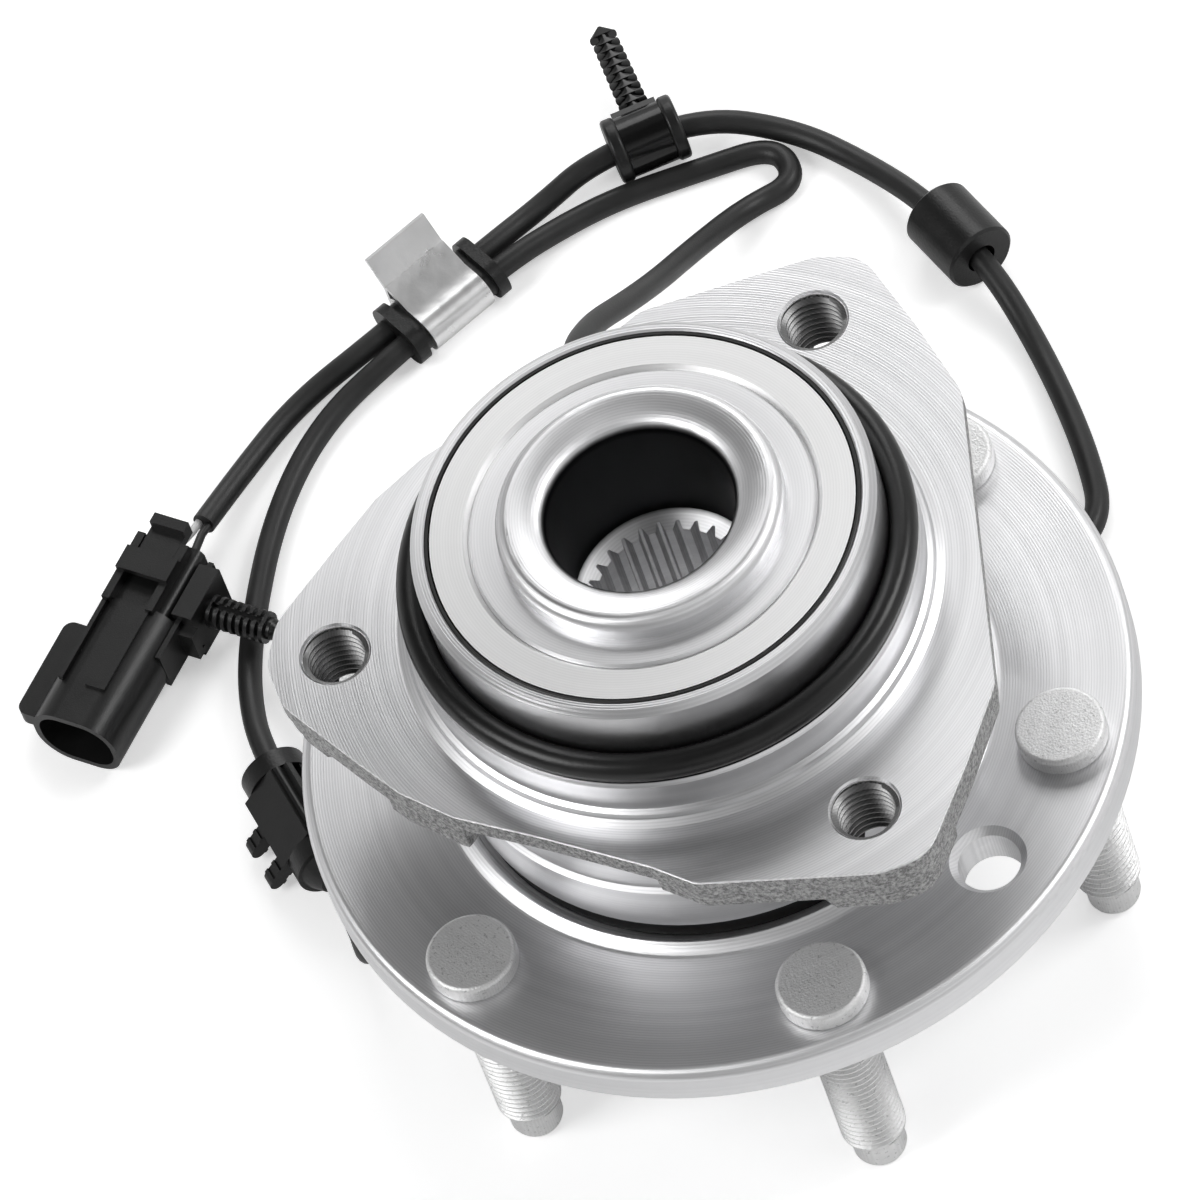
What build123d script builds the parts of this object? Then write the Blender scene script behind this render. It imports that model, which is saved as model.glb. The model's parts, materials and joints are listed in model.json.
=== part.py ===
"""Wheel hub bearing unit with its wheel speed sensor harness, in millimetres.

The hub axis is Z and points to the vehicle side. The origin is the centre of the stud
circle on the face that the wheel and the brake disc bolt against. The unit stands on
its stud tips, and the harness lies on the same surface.
"""

import os
from math import cos, pi, radians, sin, tan

from build123d import *

os.makedirs("parts", exist_ok=True)

# Running clearances and fits
race_gap = 0.05          # between a ball and its raceways
pocket_gap = 0.15        # between a ball and its cage pocket
lip_gap = 0.10           # between a seal lip and the face it wipes
side_gap = 0.30          # between parts that turn past each other
bolt_gap = 0.10          # round the sensor in its bore

# Wheel side
flange_t = 8.0
flange_edge = 2.2        # rounding of the flange rim on the vehicle side
stud_count = 6
stud_circle_r = 63.5
stud_phase = 43.0
stud_major_r = 6.0
stud_press_r = 6.3       # knurled part, pressed into the flange
stud_head_r = 8.1
stud_head_t = 3.8
stud_drop = 44.0         # from the wheel face to the stud tips
stud_tip_r = 4.85
stud_tip_l = 7.0
rim_margin = 3.4         # flange beyond the stud heads
flange_r = stud_circle_r + stud_head_r + rim_margin
access_hole_r = 5.6
access_hole_phase = 317.8
access_hole_circle_r = 61.0
pilot_r = 39.0
pilot_step = 0.6
pilot_l = 12.0
pilot_wall = 6.0
collar_r = 47.1
collar_w = 3.4
collar_h = 1.6
seal_recess = 0.8        # depth of the ring-shaped recess inside the collar

# Bearing
ball_r = 6.35
ball_count = 13
ball_circle_r = 32.0
row_outboard_z = 21.5
row_inboard_z = 50.0
shoulder_r = 30.7        # inner raceway shoulder, and the inner ring's big end
relief_r = 26.4          # inner raceway, low side
outer_shoulder_r = 34.2
journal_r = 21.5
spindle_r = 25.0
inner_ring_z0 = 42.0
inner_ring_z1 = 70.0
cage_half_w = 7.3
cage_inner_r = 31.1
cage_outer_r = 33.8

# Spindle bore and spline
bore_r = 16.6
bore_floor_z = 47.7     # where the drilled bottom of the bore starts
bore_floor_drop = 1.9
spline_teeth = 27
spline_major_r = 14.8
spline_minor_r = 13.4
spline_z0 = 4.0
nut_recess_r = 22.0
lip_r = 25.3
lip_z = 74.4
bore_edge_z = 72.1

# Outer ring and its mounting flange
neck_r = 46.6
neck_z0 = 11.3
neck_step_z = 22.0
forged_r = 45.6
mount_face_z = 46.3
mount_plate_t = 4.2
mount_pad_t = 8.4
mount_boss_t = 12.4
mount_boss_r = 13.0
mount_lug_t = 9.6
mount_lug_r = 8.5
mount_circle_r = 59.7
mount_thread_r = 6.0     # M12 thread, cut to its major radius
mount_sink_r = 6.45
spigot_r = 45.8
spigot_z = 55.5
nose_r = 41.0
nose_z = 70.5
nose_chamfer = 1.2
o_ring_section = 5.0
tone_z0 = 29.8
tone_w = 4.8
tone_r = 33.4
tone_teeth = 48
tone_slot = 2.2
tone_slot_depth = 2.4

# Speed sensor, set in the back of the outer ring between the rows
sensor_az = 105.0
sensor_r = 4.4
sensor_gap = 0.8
sensor_pad_x = 49.0      # flat on the neck, from the axis
sensor_pad_w = 36.0
sensor_head_w = 12.4
sensor_head_l = 8.0
sensor_ear_t = 3.2
sensor_ear_x = 14.5      # from the sensor's axis to its screw
sensor_screw_r = 2.5
sensor_outlet_l = 11.5   # cable outlet, from the middle of the head
sensor_outlet_fall = 40.0

# Harness
cable_r = 2.25
floor_z = -stud_drop
lie_z = floor_z + cable_r
strand_gap = 5.0         # between two strands in one grommet
wire_r = 0.8
sleeve_r = 6.9
sleeve_l = 14.6
flange_sleeve_r = 6.3
clip_z = floor_z + 8.0
grommet_z = floor_z + 4.2
connector_z = floor_z + 7.2

row_gap_r = ball_r + race_gap
groove_r = ball_circle_r + row_gap_r      # bottom of the outer raceways
inner_groove_r = ball_circle_r - row_gap_r


def on_circle(r, angle, z=0.0):
    return Vector(r * cos(radians(angle)), r * sin(radians(angle)), z)


def race_z(r):
    """How far from the row's middle a raceway of radius row_gap_r meets the radius r."""
    return (row_gap_r**2 - (r - ball_circle_r) ** 2) ** 0.5


# The wheel hub: flange, hollow spindle with the outboard raceway, and the wheel pilot
with BuildPart() as wheel_hub:
    with BuildSketch(Plane.XZ) as hub_section:
        with BuildLine():
            race_low = row_outboard_z - race_z(shoulder_r)
            race_high = row_outboard_z + race_z(relief_r)
            groove = Vector(inner_groove_r, row_outboard_z)
            outside = Polyline(
                (nut_recess_r, spline_z0),
                (nut_recess_r, -1.0),
                (pilot_r - pilot_wall - 2.0, -3.0),
                (pilot_r - pilot_wall, -pilot_l),
                (pilot_r - pilot_step - 1.5, -pilot_l),
                (pilot_r - pilot_step, -pilot_l + 1.5),
                (pilot_r - pilot_step, -pilot_l / 2),
                (pilot_r, -pilot_l / 2 + pilot_step),
                (pilot_r, 0),
                (flange_r - 0.8, 0),
                (flange_r, 0.8),
                (flange_r, flange_t),
                (collar_r + collar_w + 1.0, flange_t),
                (collar_r + collar_w - 0.4, flange_t + 0.5),
                (collar_r + 1.6, flange_t + collar_h),
                (collar_r, flange_t + collar_h - 0.4),
                (collar_r, flange_t - seal_recess),
                (shoulder_r + 6.0, flange_t - seal_recess),
                (shoulder_r + 1.2, flange_t + 1.4),
                (shoulder_r, flange_t + 4.0),
                (shoulder_r, race_low),
            )
            race = ThreePointArc(outside @ 1, groove, (relief_r, race_high))
            rest = Polyline(
                race @ 1,
                (spindle_r + 0.2, race_high + 0.6),
                (spindle_r, race_high + 1.6),
                (spindle_r, inner_ring_z0),
                (journal_r, inner_ring_z0),
                (journal_r, inner_ring_z1),
                (lip_r, inner_ring_z1),
                (lip_r, lip_z - 2.2),
            )
            rim = ThreePointArc(rest @ 1, (lip_r - 0.8, lip_z - 0.5), (lip_r - 2.6, lip_z))
            funnel = Spline(
                rim @ 1,
                (bore_r + 3.2, lip_z - 0.5),
                (bore_r, bore_edge_z - 1.6),
                tangents=((-1, 0), (0, -1)),
            )
            Polyline(
                funnel @ 1,
                (bore_r, bore_floor_z),
                (spline_minor_r, bore_floor_z - bore_floor_drop),
                (spline_minor_r, spline_z0),
                outside @ 0,
            )
        make_face()
    revolve(axis=Axis.Z)
    rim_edge = wheel_hub.edges().filter_by(GeomType.CIRCLE).filter_by(
        lambda e: abs(e.radius - flange_r) < 0.01 and abs(e.center().Z - flange_t) < 0.01
    )
    fillet(rim_edge, radius=flange_edge)
    with PolarLocations(stud_circle_r, stud_count, start_angle=stud_phase):
        Cylinder(stud_press_r, 3 * flange_t, mode=Mode.SUBTRACT)
    with Locations(on_circle(access_hole_circle_r, access_hole_phase, flange_t / 2)):
        Cylinder(access_hole_r, 3 * flange_t, mode=Mode.SUBTRACT)
    with Locations(on_circle(access_hole_circle_r, access_hole_phase, flange_t - 0.6)):
        Cone(access_hole_r, access_hole_r + 1.4, 1.4, mode=Mode.SUBTRACT)
    # The internal spline: one tooth space, cut all round
    with BuildSketch(Plane.XY.offset(spline_z0 - 1)):
        with PolarLocations(0, spline_teeth):
            half_space = 180.0 / spline_teeth
            Polygon(
                on_circle(spline_minor_r - 1, -half_space * 0.95),
                on_circle(spline_major_r, -half_space * 0.16),
                on_circle(spline_major_r, half_space * 0.16),
                on_circle(spline_minor_r - 1, half_space * 0.95),
                align=None,
            )
    extrude(amount=bore_floor_z - spline_z0 + 2, mode=Mode.SUBTRACT)

# Six wheel studs, each with a flat head, a pressed shank, a thread and a plain dog point
with BuildPart() as wheel_studs:
    with BuildSketch(Plane.XZ) as stud_section:
        with BuildLine():
            Polyline(
                (0, flange_t),
                (0, flange_t + stud_head_t),
                (stud_head_r - 1.2, flange_t + stud_head_t),
                (stud_head_r - 0.35, flange_t + stud_head_t - 0.35),
                (stud_head_r, flange_t + stud_head_t - 1.2),
                (stud_head_r, flange_t),
                (stud_press_r, flange_t),
                (stud_press_r, 0.6),
                (stud_major_r - 0.1, 0.0),
                (stud_major_r - 0.1, -stud_drop + stud_tip_l + 0.9),
                (stud_tip_r, -stud_drop + stud_tip_l),
                (stud_tip_r, -stud_drop + 1.2),
                (stud_tip_r - 1.2, -stud_drop),
                (0, -stud_drop),
                close=True,
            )
        make_face()
    revolve(axis=Axis.Z, mode=Mode.PRIVATE)
    with BuildPart(mode=Mode.PRIVATE) as one_stud:
        revolve(stud_section.sketch, axis=Axis.Z)
    with PolarLocations(stud_circle_r, stud_count, start_angle=stud_phase):
        add(one_stud.part)

# The pressed-on inner ring with the inboard raceway, held by the rolled spindle lip
with BuildPart() as inner_ring:
    with BuildSketch(Plane.XZ):
        with BuildLine():
            low = inner_ring_z0
            lower = Polyline(
                (journal_r + 0.6, low),
                (relief_r - 0.6, low),
                (relief_r, low + 0.6),
                (relief_r, row_inboard_z - race_z(relief_r)),
            )
            race = ThreePointArc(
                lower @ 1,
                (inner_groove_r, row_inboard_z),
                (shoulder_r, row_inboard_z + race_z(shoulder_r)),
            )
            Polyline(
                race @ 1,
                (shoulder_r, inner_ring_z1 - 0.5),
                (shoulder_r - 0.5, inner_ring_z1),
                (journal_r, inner_ring_z1),
                (journal_r, low + 0.6),
                lower @ 0,
            )
        make_face()
    revolve(axis=Axis.Z)

# The toothed wheel that the speed sensor reads, pressed on the spindle between the rows
with BuildPart() as tone_ring:
    with BuildSketch(Plane.XY.offset(tone_z0)):
        Circle(tone_r)
        Circle(spindle_r, mode=Mode.SUBTRACT)
        with PolarLocations(tone_r, tone_teeth):
            Rectangle(2 * tone_slot_depth, tone_slot, mode=Mode.SUBTRACT)
    extrude(amount=tone_w)

# The slinger: a pressed steel angle ring on the inner ring, the bright face of the seal
slinger_wall = 0.8
seal_face_z = inner_ring_z1 + 0.2
seal_face_r = 37.4
with BuildPart() as inboard_slinger:
    with BuildSketch(Plane.XZ):
        with BuildLine():
            Polyline(
                (shoulder_r, seal_face_z - 6.4),
                (shoulder_r + slinger_wall, seal_face_z - 6.4),
                (shoulder_r + slinger_wall, seal_face_z - slinger_wall),
                (seal_face_r, seal_face_z - slinger_wall),
                (seal_face_r, seal_face_z),
                (shoulder_r + 0.9, seal_face_z),
                (shoulder_r, seal_face_z - 0.9),
                close=True,
            )
        make_face()
    revolve(axis=Axis.Z)

# The static half of the inboard seal: steel case, rubber rim and three lips
seal_bore_r = groove_r
with BuildPart() as inboard_seal:
    with BuildSketch(Plane.XZ):
        with BuildLine():
            foot = seal_face_z - 7.6
            Polyline(
                (seal_bore_r, foot),
                (seal_bore_r, seal_face_z - 0.1),
                (seal_bore_r - 0.3, seal_face_z + 0.1),
                (seal_face_r + 0.3, seal_face_z + 0.1),
                (seal_face_r + 0.3, seal_face_z - 2.4),
                (seal_face_r + 0.6, seal_face_z - 3.4),
                (seal_face_r + 0.6, foot + 1.4),
                (shoulder_r + slinger_wall + 2.9, foot + 1.4),
                (shoulder_r + slinger_wall + 3.4, foot + 4.6),
                (shoulder_r + slinger_wall + 2.7, foot + 4.6),
                (shoulder_r + slinger_wall + 1.6, foot + 1.4),
                (shoulder_r + slinger_wall + 0.9, foot + 1.4),
                (shoulder_r + slinger_wall + lip_gap, foot + 3.0),
                (shoulder_r + slinger_wall + lip_gap, foot + 2.2),
                (shoulder_r + slinger_wall + 0.5, foot),
                close=True,
            )
        make_face()
    revolve(axis=Axis.Z)

# The outboard seal: pressed in the outer ring, its rubber skirt covers the ring's end
skirt_r = neck_r - 0.8
with BuildPart() as outboard_seal:
    with BuildSketch(Plane.XZ):
        with BuildLine():
            top = row_outboard_z - cage_half_w - 0.5
            Polyline(
                (seal_bore_r, neck_z0),
                (seal_bore_r, top),
                (seal_bore_r - 0.9, top),
                (seal_bore_r - 1.3, neck_z0 + 0.7),
                (shoulder_r + 2.2, neck_z0 + 1.0),
                (shoulder_r + 1.2, top - 0.2),
                (shoulder_r + lip_gap, top - 0.6),
                (shoulder_r + lip_gap, flange_t + 4.2),
                (shoulder_r + 1.9, neck_z0 - 0.8),
                (shoulder_r + 3.2, neck_z0 - 0.8),
                (shoulder_r + 5.2, flange_t + 1.3),
                (shoulder_r + 6.2, flange_t + 1.0),
                (shoulder_r + 7.4, neck_z0 - 1.2),
                (skirt_r - 1.8, neck_z0 - 1.2),
                (skirt_r - 0.6, flange_t - seal_recess + side_gap),
                (skirt_r, flange_t - seal_recess + side_gap),
                (skirt_r, neck_z0 - 0.2),
                (skirt_r - 0.4, neck_z0),
                close=True,
            )
        make_face()
    revolve(axis=Axis.Z)

# One bead of balls and one snap cage for each row
with BuildPart() as balls_outboard:
    with Locations((0, 0, row_outboard_z)):
        with PolarLocations(ball_circle_r, ball_count):
            Sphere(ball_r)

with BuildPart() as balls_inboard:
    with Locations((0, 0, row_inboard_z)):
        with PolarLocations(ball_circle_r, ball_count, start_angle=180 / ball_count):
            Sphere(ball_r)

cage_rib_w = 1.1
with BuildPart() as cage_outboard:
    with Locations((0, 0, row_outboard_z)):
        Cylinder(cage_outer_r, 2 * cage_half_w)
        Cylinder(cage_inner_r, 2 * cage_half_w, mode=Mode.SUBTRACT)
        with PolarLocations(ball_circle_r, ball_count):
            Cylinder(ball_r + pocket_gap, 8, rotation=(0, 90, 0), mode=Mode.SUBTRACT)
    with Locations((0, 0, row_outboard_z + cage_half_w)):
        with PolarLocations(cage_outer_r, ball_count, start_angle=180 / ball_count):
            Box(2 * cage_rib_w, 5, 5, mode=Mode.SUBTRACT)

with BuildPart() as cage_inboard:
    with Locations((0, 0, row_inboard_z)):
        Cylinder(cage_outer_r, 2 * cage_half_w)
        Cylinder(cage_inner_r, 2 * cage_half_w, mode=Mode.SUBTRACT)
        with PolarLocations(ball_circle_r, ball_count, start_angle=180 / ball_count):
            Cylinder(ball_r + pocket_gap, 8, rotation=(0, 90, 0), mode=Mode.SUBTRACT)
    with Locations((0, 0, row_inboard_z - cage_half_w)):
        with PolarLocations(cage_outer_r, ball_count):
            Box(2 * cage_rib_w, 5, 5, mode=Mode.SUBTRACT)

# The sensor's own frame: X radial and outward, Y round the ring, Z along the hub axis
sensor_z = tone_z0 + tone_w / 2
sensor_dir = on_circle(1, sensor_az)
sensor_side = on_circle(1, sensor_az + 90)
sensor_pad = Plane(
    origin=sensor_dir * sensor_pad_x + Vector(0, 0, sensor_z), x_dir=sensor_side, z_dir=sensor_dir
)

# The outer ring: turned neck, three-lobed mounting flange, spigot and sensor pad
lobe_angles = (-60, 60, 180)
with BuildPart() as outer_ring:
    with BuildSketch(Plane.XZ):
        with BuildLine():
            end = Polyline(
                (groove_r, neck_z0),
                (neck_r - 0.6, neck_z0),
                (neck_r, neck_z0 + 0.6),
                (neck_r, neck_step_z),
                (forged_r, neck_step_z + 0.6),
                (forged_r, mount_face_z - mount_plate_t),
                (forged_r, mount_face_z),
                (spigot_r + 2.7, mount_face_z),
                (spigot_r + 1.3, mount_face_z + 0.7),
                (spigot_r + 0.9, mount_face_z + 1.6),
                (spigot_r, mount_face_z + 2.1),
                (spigot_r, spigot_z - 0.6),
                (spigot_r - 0.6, spigot_z),
                (nose_r, spigot_z),
                (nose_r, nose_z - nose_chamfer),
                (nose_r - nose_chamfer, nose_z),
                (groove_r + 0.3, nose_z),
                (groove_r, nose_z - 0.3),
                (groove_r, row_inboard_z),
            )
            inner_arc = row_inboard_z - race_z(outer_shoulder_r)
            outer_arc = row_outboard_z + race_z(outer_shoulder_r)
            down = ThreePointArc(
                end @ 1,
                (
                    ball_circle_r + row_gap_r * cos(radians(35)),
                    row_inboard_z - row_gap_r * sin(radians(35)),
                ),
                (outer_shoulder_r, inner_arc),
            )
            mid = Line(down @ 1, (outer_shoulder_r, outer_arc))
            up = ThreePointArc(
                mid @ 1,
                (
                    ball_circle_r + row_gap_r * cos(radians(35)),
                    row_outboard_z + row_gap_r * sin(radians(35)),
                ),
                (groove_r, row_outboard_z),
            )
            Line(up @ 1, end @ 0)
        make_face()
    revolve(axis=Axis.Z)

    # The flange outline, half of it drawn and mirrored in the XZ plane
    with BuildSketch(Plane.XY.offset(mount_face_z)) as mount_outline:
        with BuildLine():
            half = Polyline(
                (-72.0, 0.0),
                (-69.8, 8.6),
                (-57.6, 23.0),
                (-50.5, 31.0),
                (-41.5, 38.0),
                (-26.5, 45.5),
                (-8.0, 55.5),
                (-0.5, 60.6),
                (31.0, 65.2),
                (39.6, 63.6),
                (47.8, 46.6),
                (54.4, 31.0),
                (54.4, 0.0),
            )
            mirror(half, about=Plane.XZ)
        make_face()
        corners = mount_outline.vertices()
        fillet(corners.filter_by(lambda v: v.X < -60), radius=9.0)
        fillet(mount_outline.vertices().filter_by(lambda v: v.X > 28 and abs(v.Y) > 50), radius=8.0)
        rest_corners = mount_outline.vertices().filter_by(
            lambda v: -60 < v.X < 2 or (v.X > 50 and abs(v.Y) > 28)
        )
        fillet(rest_corners, radius=5.0)
        Circle(forged_r - 3, mode=Mode.SUBTRACT)
    extrude(amount=-mount_plate_t)
    with BuildSketch(Plane.XY.offset(mount_face_z)):
        for angle in lobe_angles:
            with Locations(on_circle(mount_circle_r - 6, angle)):
                Circle(mount_boss_r + (14 if angle == 180 else 23))
        add(mount_outline.sketch, mode=Mode.INTERSECT)
    extrude(amount=-mount_pad_t, taper=4)
    # Two lugs under the plate, left by the forging die
    with BuildSketch(Plane.XY.offset(mount_face_z)):
        with Locations((-46.0, -32.0), (-46.0, 32.0)):
            Circle(mount_lug_r)
        add(mount_outline.sketch, mode=Mode.INTERSECT)
    extrude(amount=-mount_lug_t)
    with BuildSketch(Plane.XY.offset(mount_face_z)):
        with Locations([on_circle(mount_circle_r + 1, a) for a in lobe_angles]):
            Circle(mount_boss_r + 1.5)
        add(mount_outline.sketch, mode=Mode.INTERSECT)
    extrude(amount=-mount_boss_t, taper=6)

    with BuildSketch(sensor_pad):
        with Locations((sensor_ear_x / 2, 0)):
            RectangleRounded(sensor_pad_w, 13.0, 3.0)
    extrude(amount=-(sensor_pad_x - forged_r + 6))
    with BuildSketch(sensor_pad):
        Circle(sensor_r + bolt_gap)
    extrude(amount=-30, mode=Mode.SUBTRACT)
    with BuildSketch(sensor_pad):
        with Locations((sensor_ear_x, 0)):
            Circle(sensor_screw_r - 0.1)
    extrude(amount=-9, mode=Mode.SUBTRACT)

    for angle in lobe_angles:
        with Locations(on_circle(mount_circle_r, angle, mount_face_z)):
            CounterSinkHole(mount_thread_r, mount_sink_r, depth=mount_boss_t + 6, counter_sink_angle=82)

# The O-ring that seals the unit in the knuckle, stretched over the nose
with BuildPart() as pilot_o_ring:
    with Locations((0, 0, spigot_z + o_ring_section / 2)):
        Torus(nose_r + o_ring_section / 2, o_ring_section / 2)

# The speed sensor: a barrel in the ring, a head with a screw ear, and a sloping outlet
fall = radians(sensor_outlet_fall)
outlet_dir = sensor_dir * cos(fall) - Vector(0, 0, sin(fall))
outlet_root = sensor_dir * (sensor_pad_x + 0.6 * sensor_head_l) + Vector(0, 0, sensor_z)
sensor_exit = outlet_root + outlet_dir * sensor_outlet_l
outlet_face = Plane(origin=sensor_exit, x_dir=sensor_side, z_dir=outlet_dir)
with BuildPart() as speed_sensor:
    with BuildSketch(sensor_pad):
        Circle(sensor_r)
    extrude(amount=-(sensor_pad_x - tone_r - sensor_gap))
    with BuildSketch(sensor_pad):
        with Locations((sensor_ear_x / 2, 0)):
            SlotCenterToCenter(sensor_ear_x, sensor_head_w - 1.4)
    extrude(amount=sensor_ear_t)
    with BuildSketch(sensor_pad):
        RectangleRounded(sensor_head_w, sensor_head_w, 3.0)
    extrude(amount=sensor_head_l)
    with BuildSketch(outlet_face):
        Circle(cable_r + 1.0)
    with BuildSketch(outlet_face.offset(-(sensor_outlet_l - 2.0))):
        Circle(sensor_head_w / 2 - 1.6)
    loft()
    with BuildSketch(sensor_pad):
        with Locations((sensor_ear_x, 0)):
            Circle(sensor_screw_r + bolt_gap)
    extrude(amount=sensor_ear_t, mode=Mode.SUBTRACT)
    with BuildSketch(sensor_pad.offset(-6)):
        Circle(sensor_r)
        Circle(sensor_r - 0.9, mode=Mode.SUBTRACT)
    extrude(amount=1.6, mode=Mode.SUBTRACT)

with BuildPart() as sensor_o_ring:
    with BuildSketch(sensor_pad.offset(-6)):
        Circle(sensor_r + bolt_gap)
        Circle(sensor_r - 0.9, mode=Mode.SUBTRACT)
    extrude(amount=1.6)

with BuildPart() as sensor_screw:
    with BuildSketch(sensor_pad.offset(sensor_ear_t)):
        with Locations((sensor_ear_x, 0)):
            Circle(4.4)
    extrude(amount=3.0)
    with BuildSketch(sensor_pad.offset(sensor_ear_t + 3.0)):
        with Locations((sensor_ear_x, 0)):
            RegularPolygon(2.3, 6)
    extrude(amount=-2.0, mode=Mode.SUBTRACT)
    with BuildSketch(sensor_pad.offset(sensor_ear_t)):
        with Locations((sensor_ear_x, 0)):
            Circle(sensor_screw_r - 0.1)
    extrude(amount=-(sensor_ear_t + 8.5))

# The cable's route. Each piece on the cable sets the straight run that passes through it.
grommet_mid = Vector(-50.6, 135.3, grommet_z)
grommet_dir = Vector(0.809, 0.588, 0).normalized()
grommet_side = Vector(-grommet_dir.Y, grommet_dir.X, 0)
grommet_half = 9.9
strand = grommet_side * (strand_gap / 2)

clip_top = Vector(-87.9, 33.9, clip_z)
clip_end = Vector(-79.1, 12.0, clip_z)
clip_dir = (clip_end - clip_top).normalized()
clip_side = Vector(-clip_dir.Y, clip_dir.X, 0)

sleeve_mid = Vector(47.2, 126.1, floor_z + sleeve_r)
sleeve_dir = Vector(0.51, -0.86, 0).normalized()

tree_mid = Vector(-9.2, 161.9, floor_z + flange_sleeve_r)
tree_dir = Vector(0.967, 0.255, 0).normalized()
tree_side = Vector(-tree_dir.Y, tree_dir.X, 0)

route_points = [
    sensor_exit,
    sensor_exit + outlet_dir * 9.0,
    Vector(-12.1, 84.7, 12.5),
    Vector(-8.2, 108.1, -12.0),
    Vector(-1.5, 132.0, -34.0),
    Vector(7.5, 144.6, lie_z),
    Vector(17.9, 148.4, lie_z),
    Vector(14.6, 157.9, lie_z),
    Vector(-0.1, 155.5, lie_z),
    Vector(-16.0, 152.6, lie_z),
    Vector(-27.0, 148.0, lie_z + 0.6),
    grommet_mid + grommet_dir * (grommet_half + 4) - strand,
    grommet_mid - grommet_dir * (grommet_half + 4) - strand,
    Vector(-75.5, 114.0, lie_z),
    Vector(-85.5, 95.5, lie_z),
    Vector(-91.3, 72.0, lie_z),
    Vector(-92.6, 55.0, lie_z + 1.5),
    clip_top - clip_dir * 5.0,
    clip_end + clip_dir * 4.0,
    Vector(-75.8, 1.6, lie_z + 1.4),
    Vector(-73.4, -6.4, lie_z + 3.6),
    Vector(-72.6, -10.8, lie_z + 11.0),
    Vector(-72.6, -8.1, lie_z + 19.6),
    Vector(-72.9, 0.3, lie_z + 25.2),
    Vector(-73.8, 10.6, lie_z + 22.0),
    Vector(-74.2, 18.8, lie_z + 15.8),
    Vector(-71.6, 28.4, lie_z + 10.4),
    Vector(-67.4, 43.0, lie_z + 3.4),
    Vector(-55.0, 60.0, lie_z),
    Vector(-34.5, 76.5, lie_z),
    Vector(-6.0, 84.8, lie_z),
    Vector(18.0, 84.6, lie_z),
    Vector(31.0, 80.6, lie_z),
    Vector(37.4, 71.8, lie_z),
    Vector(38.2, 61.0, lie_z),
    Vector(46.8, 53.0, lie_z),
    Vector(58.6, 52.6, lie_z),
    Vector(66.8, 60.9, lie_z),
    Vector(65.6, 74.0, lie_z),
    Vector(62.6, 88.1, lie_z),
    Vector(58.0, 104.0, lie_z),
    sleeve_mid + sleeve_dir * 10.0,
    sleeve_mid - sleeve_dir * 10.0,
    Vector(31.2, 149.4, lie_z),
    Vector(18.5, 160.4, lie_z),
    tree_mid + tree_dir * 11.0,
    tree_mid - tree_dir * 11.0,
    Vector(-30.6, 153.6, lie_z + 0.6),
    grommet_mid + grommet_dir * (grommet_half + 4) + strand,
    grommet_mid - grommet_dir * (grommet_half + 4) + strand,
    Vector(-80.0, 119.4, lie_z),
    Vector(-91.6, 105.0, lie_z + 0.8),
    Vector(-98.4, 94.0, lie_z + 3.2),
]
route_radii = []
for before, corner, after in zip(route_points, route_points[1:], route_points[2:]):
    run_in = corner - before
    run_out = after - corner
    half_turn = radians(run_in.get_angle(run_out)) / 2
    shorter = min(run_in.length, run_out.length)
    route_radii.append(0.45 * shorter / tan(half_turn))
print("cable bend radii, mm:", [round(r, 1) for r in route_radii])

with BuildPart() as sensor_cable:
    with BuildLine() as cable_route:
        FilletPolyline(*route_points, radius=route_radii)
    with BuildSketch(Plane(origin=route_points[0], z_dir=outlet_dir)):
        Circle(cable_r)
    sweep()
cable_length = sum(edge.length for edge in cable_route.edges())
print("cable length, mm:", round(cable_length, 1))
print("tube volume over length times section:", sensor_cable.part.volume / (cable_length * pi * cable_r**2))

# The double grommet: two oval rubber flanges and the waist that the clamp grips
grommet_w = 14.4
grommet_h = 2 * (grommet_z - floor_z)
grommet_t = 2.4
waist_w = 12.2
waist_h = 5.8
grommet_face = Plane(
    origin=grommet_mid - grommet_dir * (grommet_half + grommet_t / 2),
    x_dir=grommet_side,
    z_dir=grommet_dir,
)
with BuildPart() as strand_grommet:
    with BuildSketch(grommet_face):
        SlotOverall(grommet_w, grommet_h)
    extrude(amount=grommet_t)
    with BuildSketch(grommet_face.offset(2 * grommet_half)):
        SlotOverall(grommet_w, grommet_h)
    extrude(amount=grommet_t)
    with BuildSketch(grommet_face):
        SlotOverall(waist_w, waist_h)
    extrude(amount=2 * grommet_half + grommet_t)
    add(sensor_cable.part, mode=Mode.SUBTRACT)

# The sheet metal clamp: a strip wrapped once round the waist. Its upper end rises in one
# facet and stops against its lower end, which goes on as a tab that stands up.
clamp_l = 14.2
clamp_t = 0.9
clamp_top = waist_h / 2 + clamp_t
clamp_left = waist_w / 2 + clamp_t
clamp_face = Plane(
    origin=grommet_mid - grommet_dir * (clamp_l / 2), x_dir=grommet_side, z_dir=grommet_dir
)
with BuildPart() as cable_clamp:
    with BuildSketch(clamp_face):
        SlotOverall(2 * clamp_left, 2 * clamp_top)
        Polygon(
            (0.4, clamp_top),
            (clamp_left - 0.9, clamp_top + 2.4),
            (clamp_left - 0.5, clamp_top + 1.6),
            (0.9, clamp_top - clamp_t),
            align=None,
        )
        Polygon(
            (clamp_left - clamp_t, 0),
            (clamp_left, 0),
            (clamp_left + 0.1, clamp_top + 1.2),
            (clamp_left + 3.9, clamp_top + 6.8),
            (clamp_left + 3.1, clamp_top + 7.2),
            (clamp_left - 0.9, clamp_top + 1.5),
            align=None,
        )
        SlotOverall(waist_w, waist_h, mode=Mode.SUBTRACT)
    extrude(amount=clamp_l)

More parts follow.
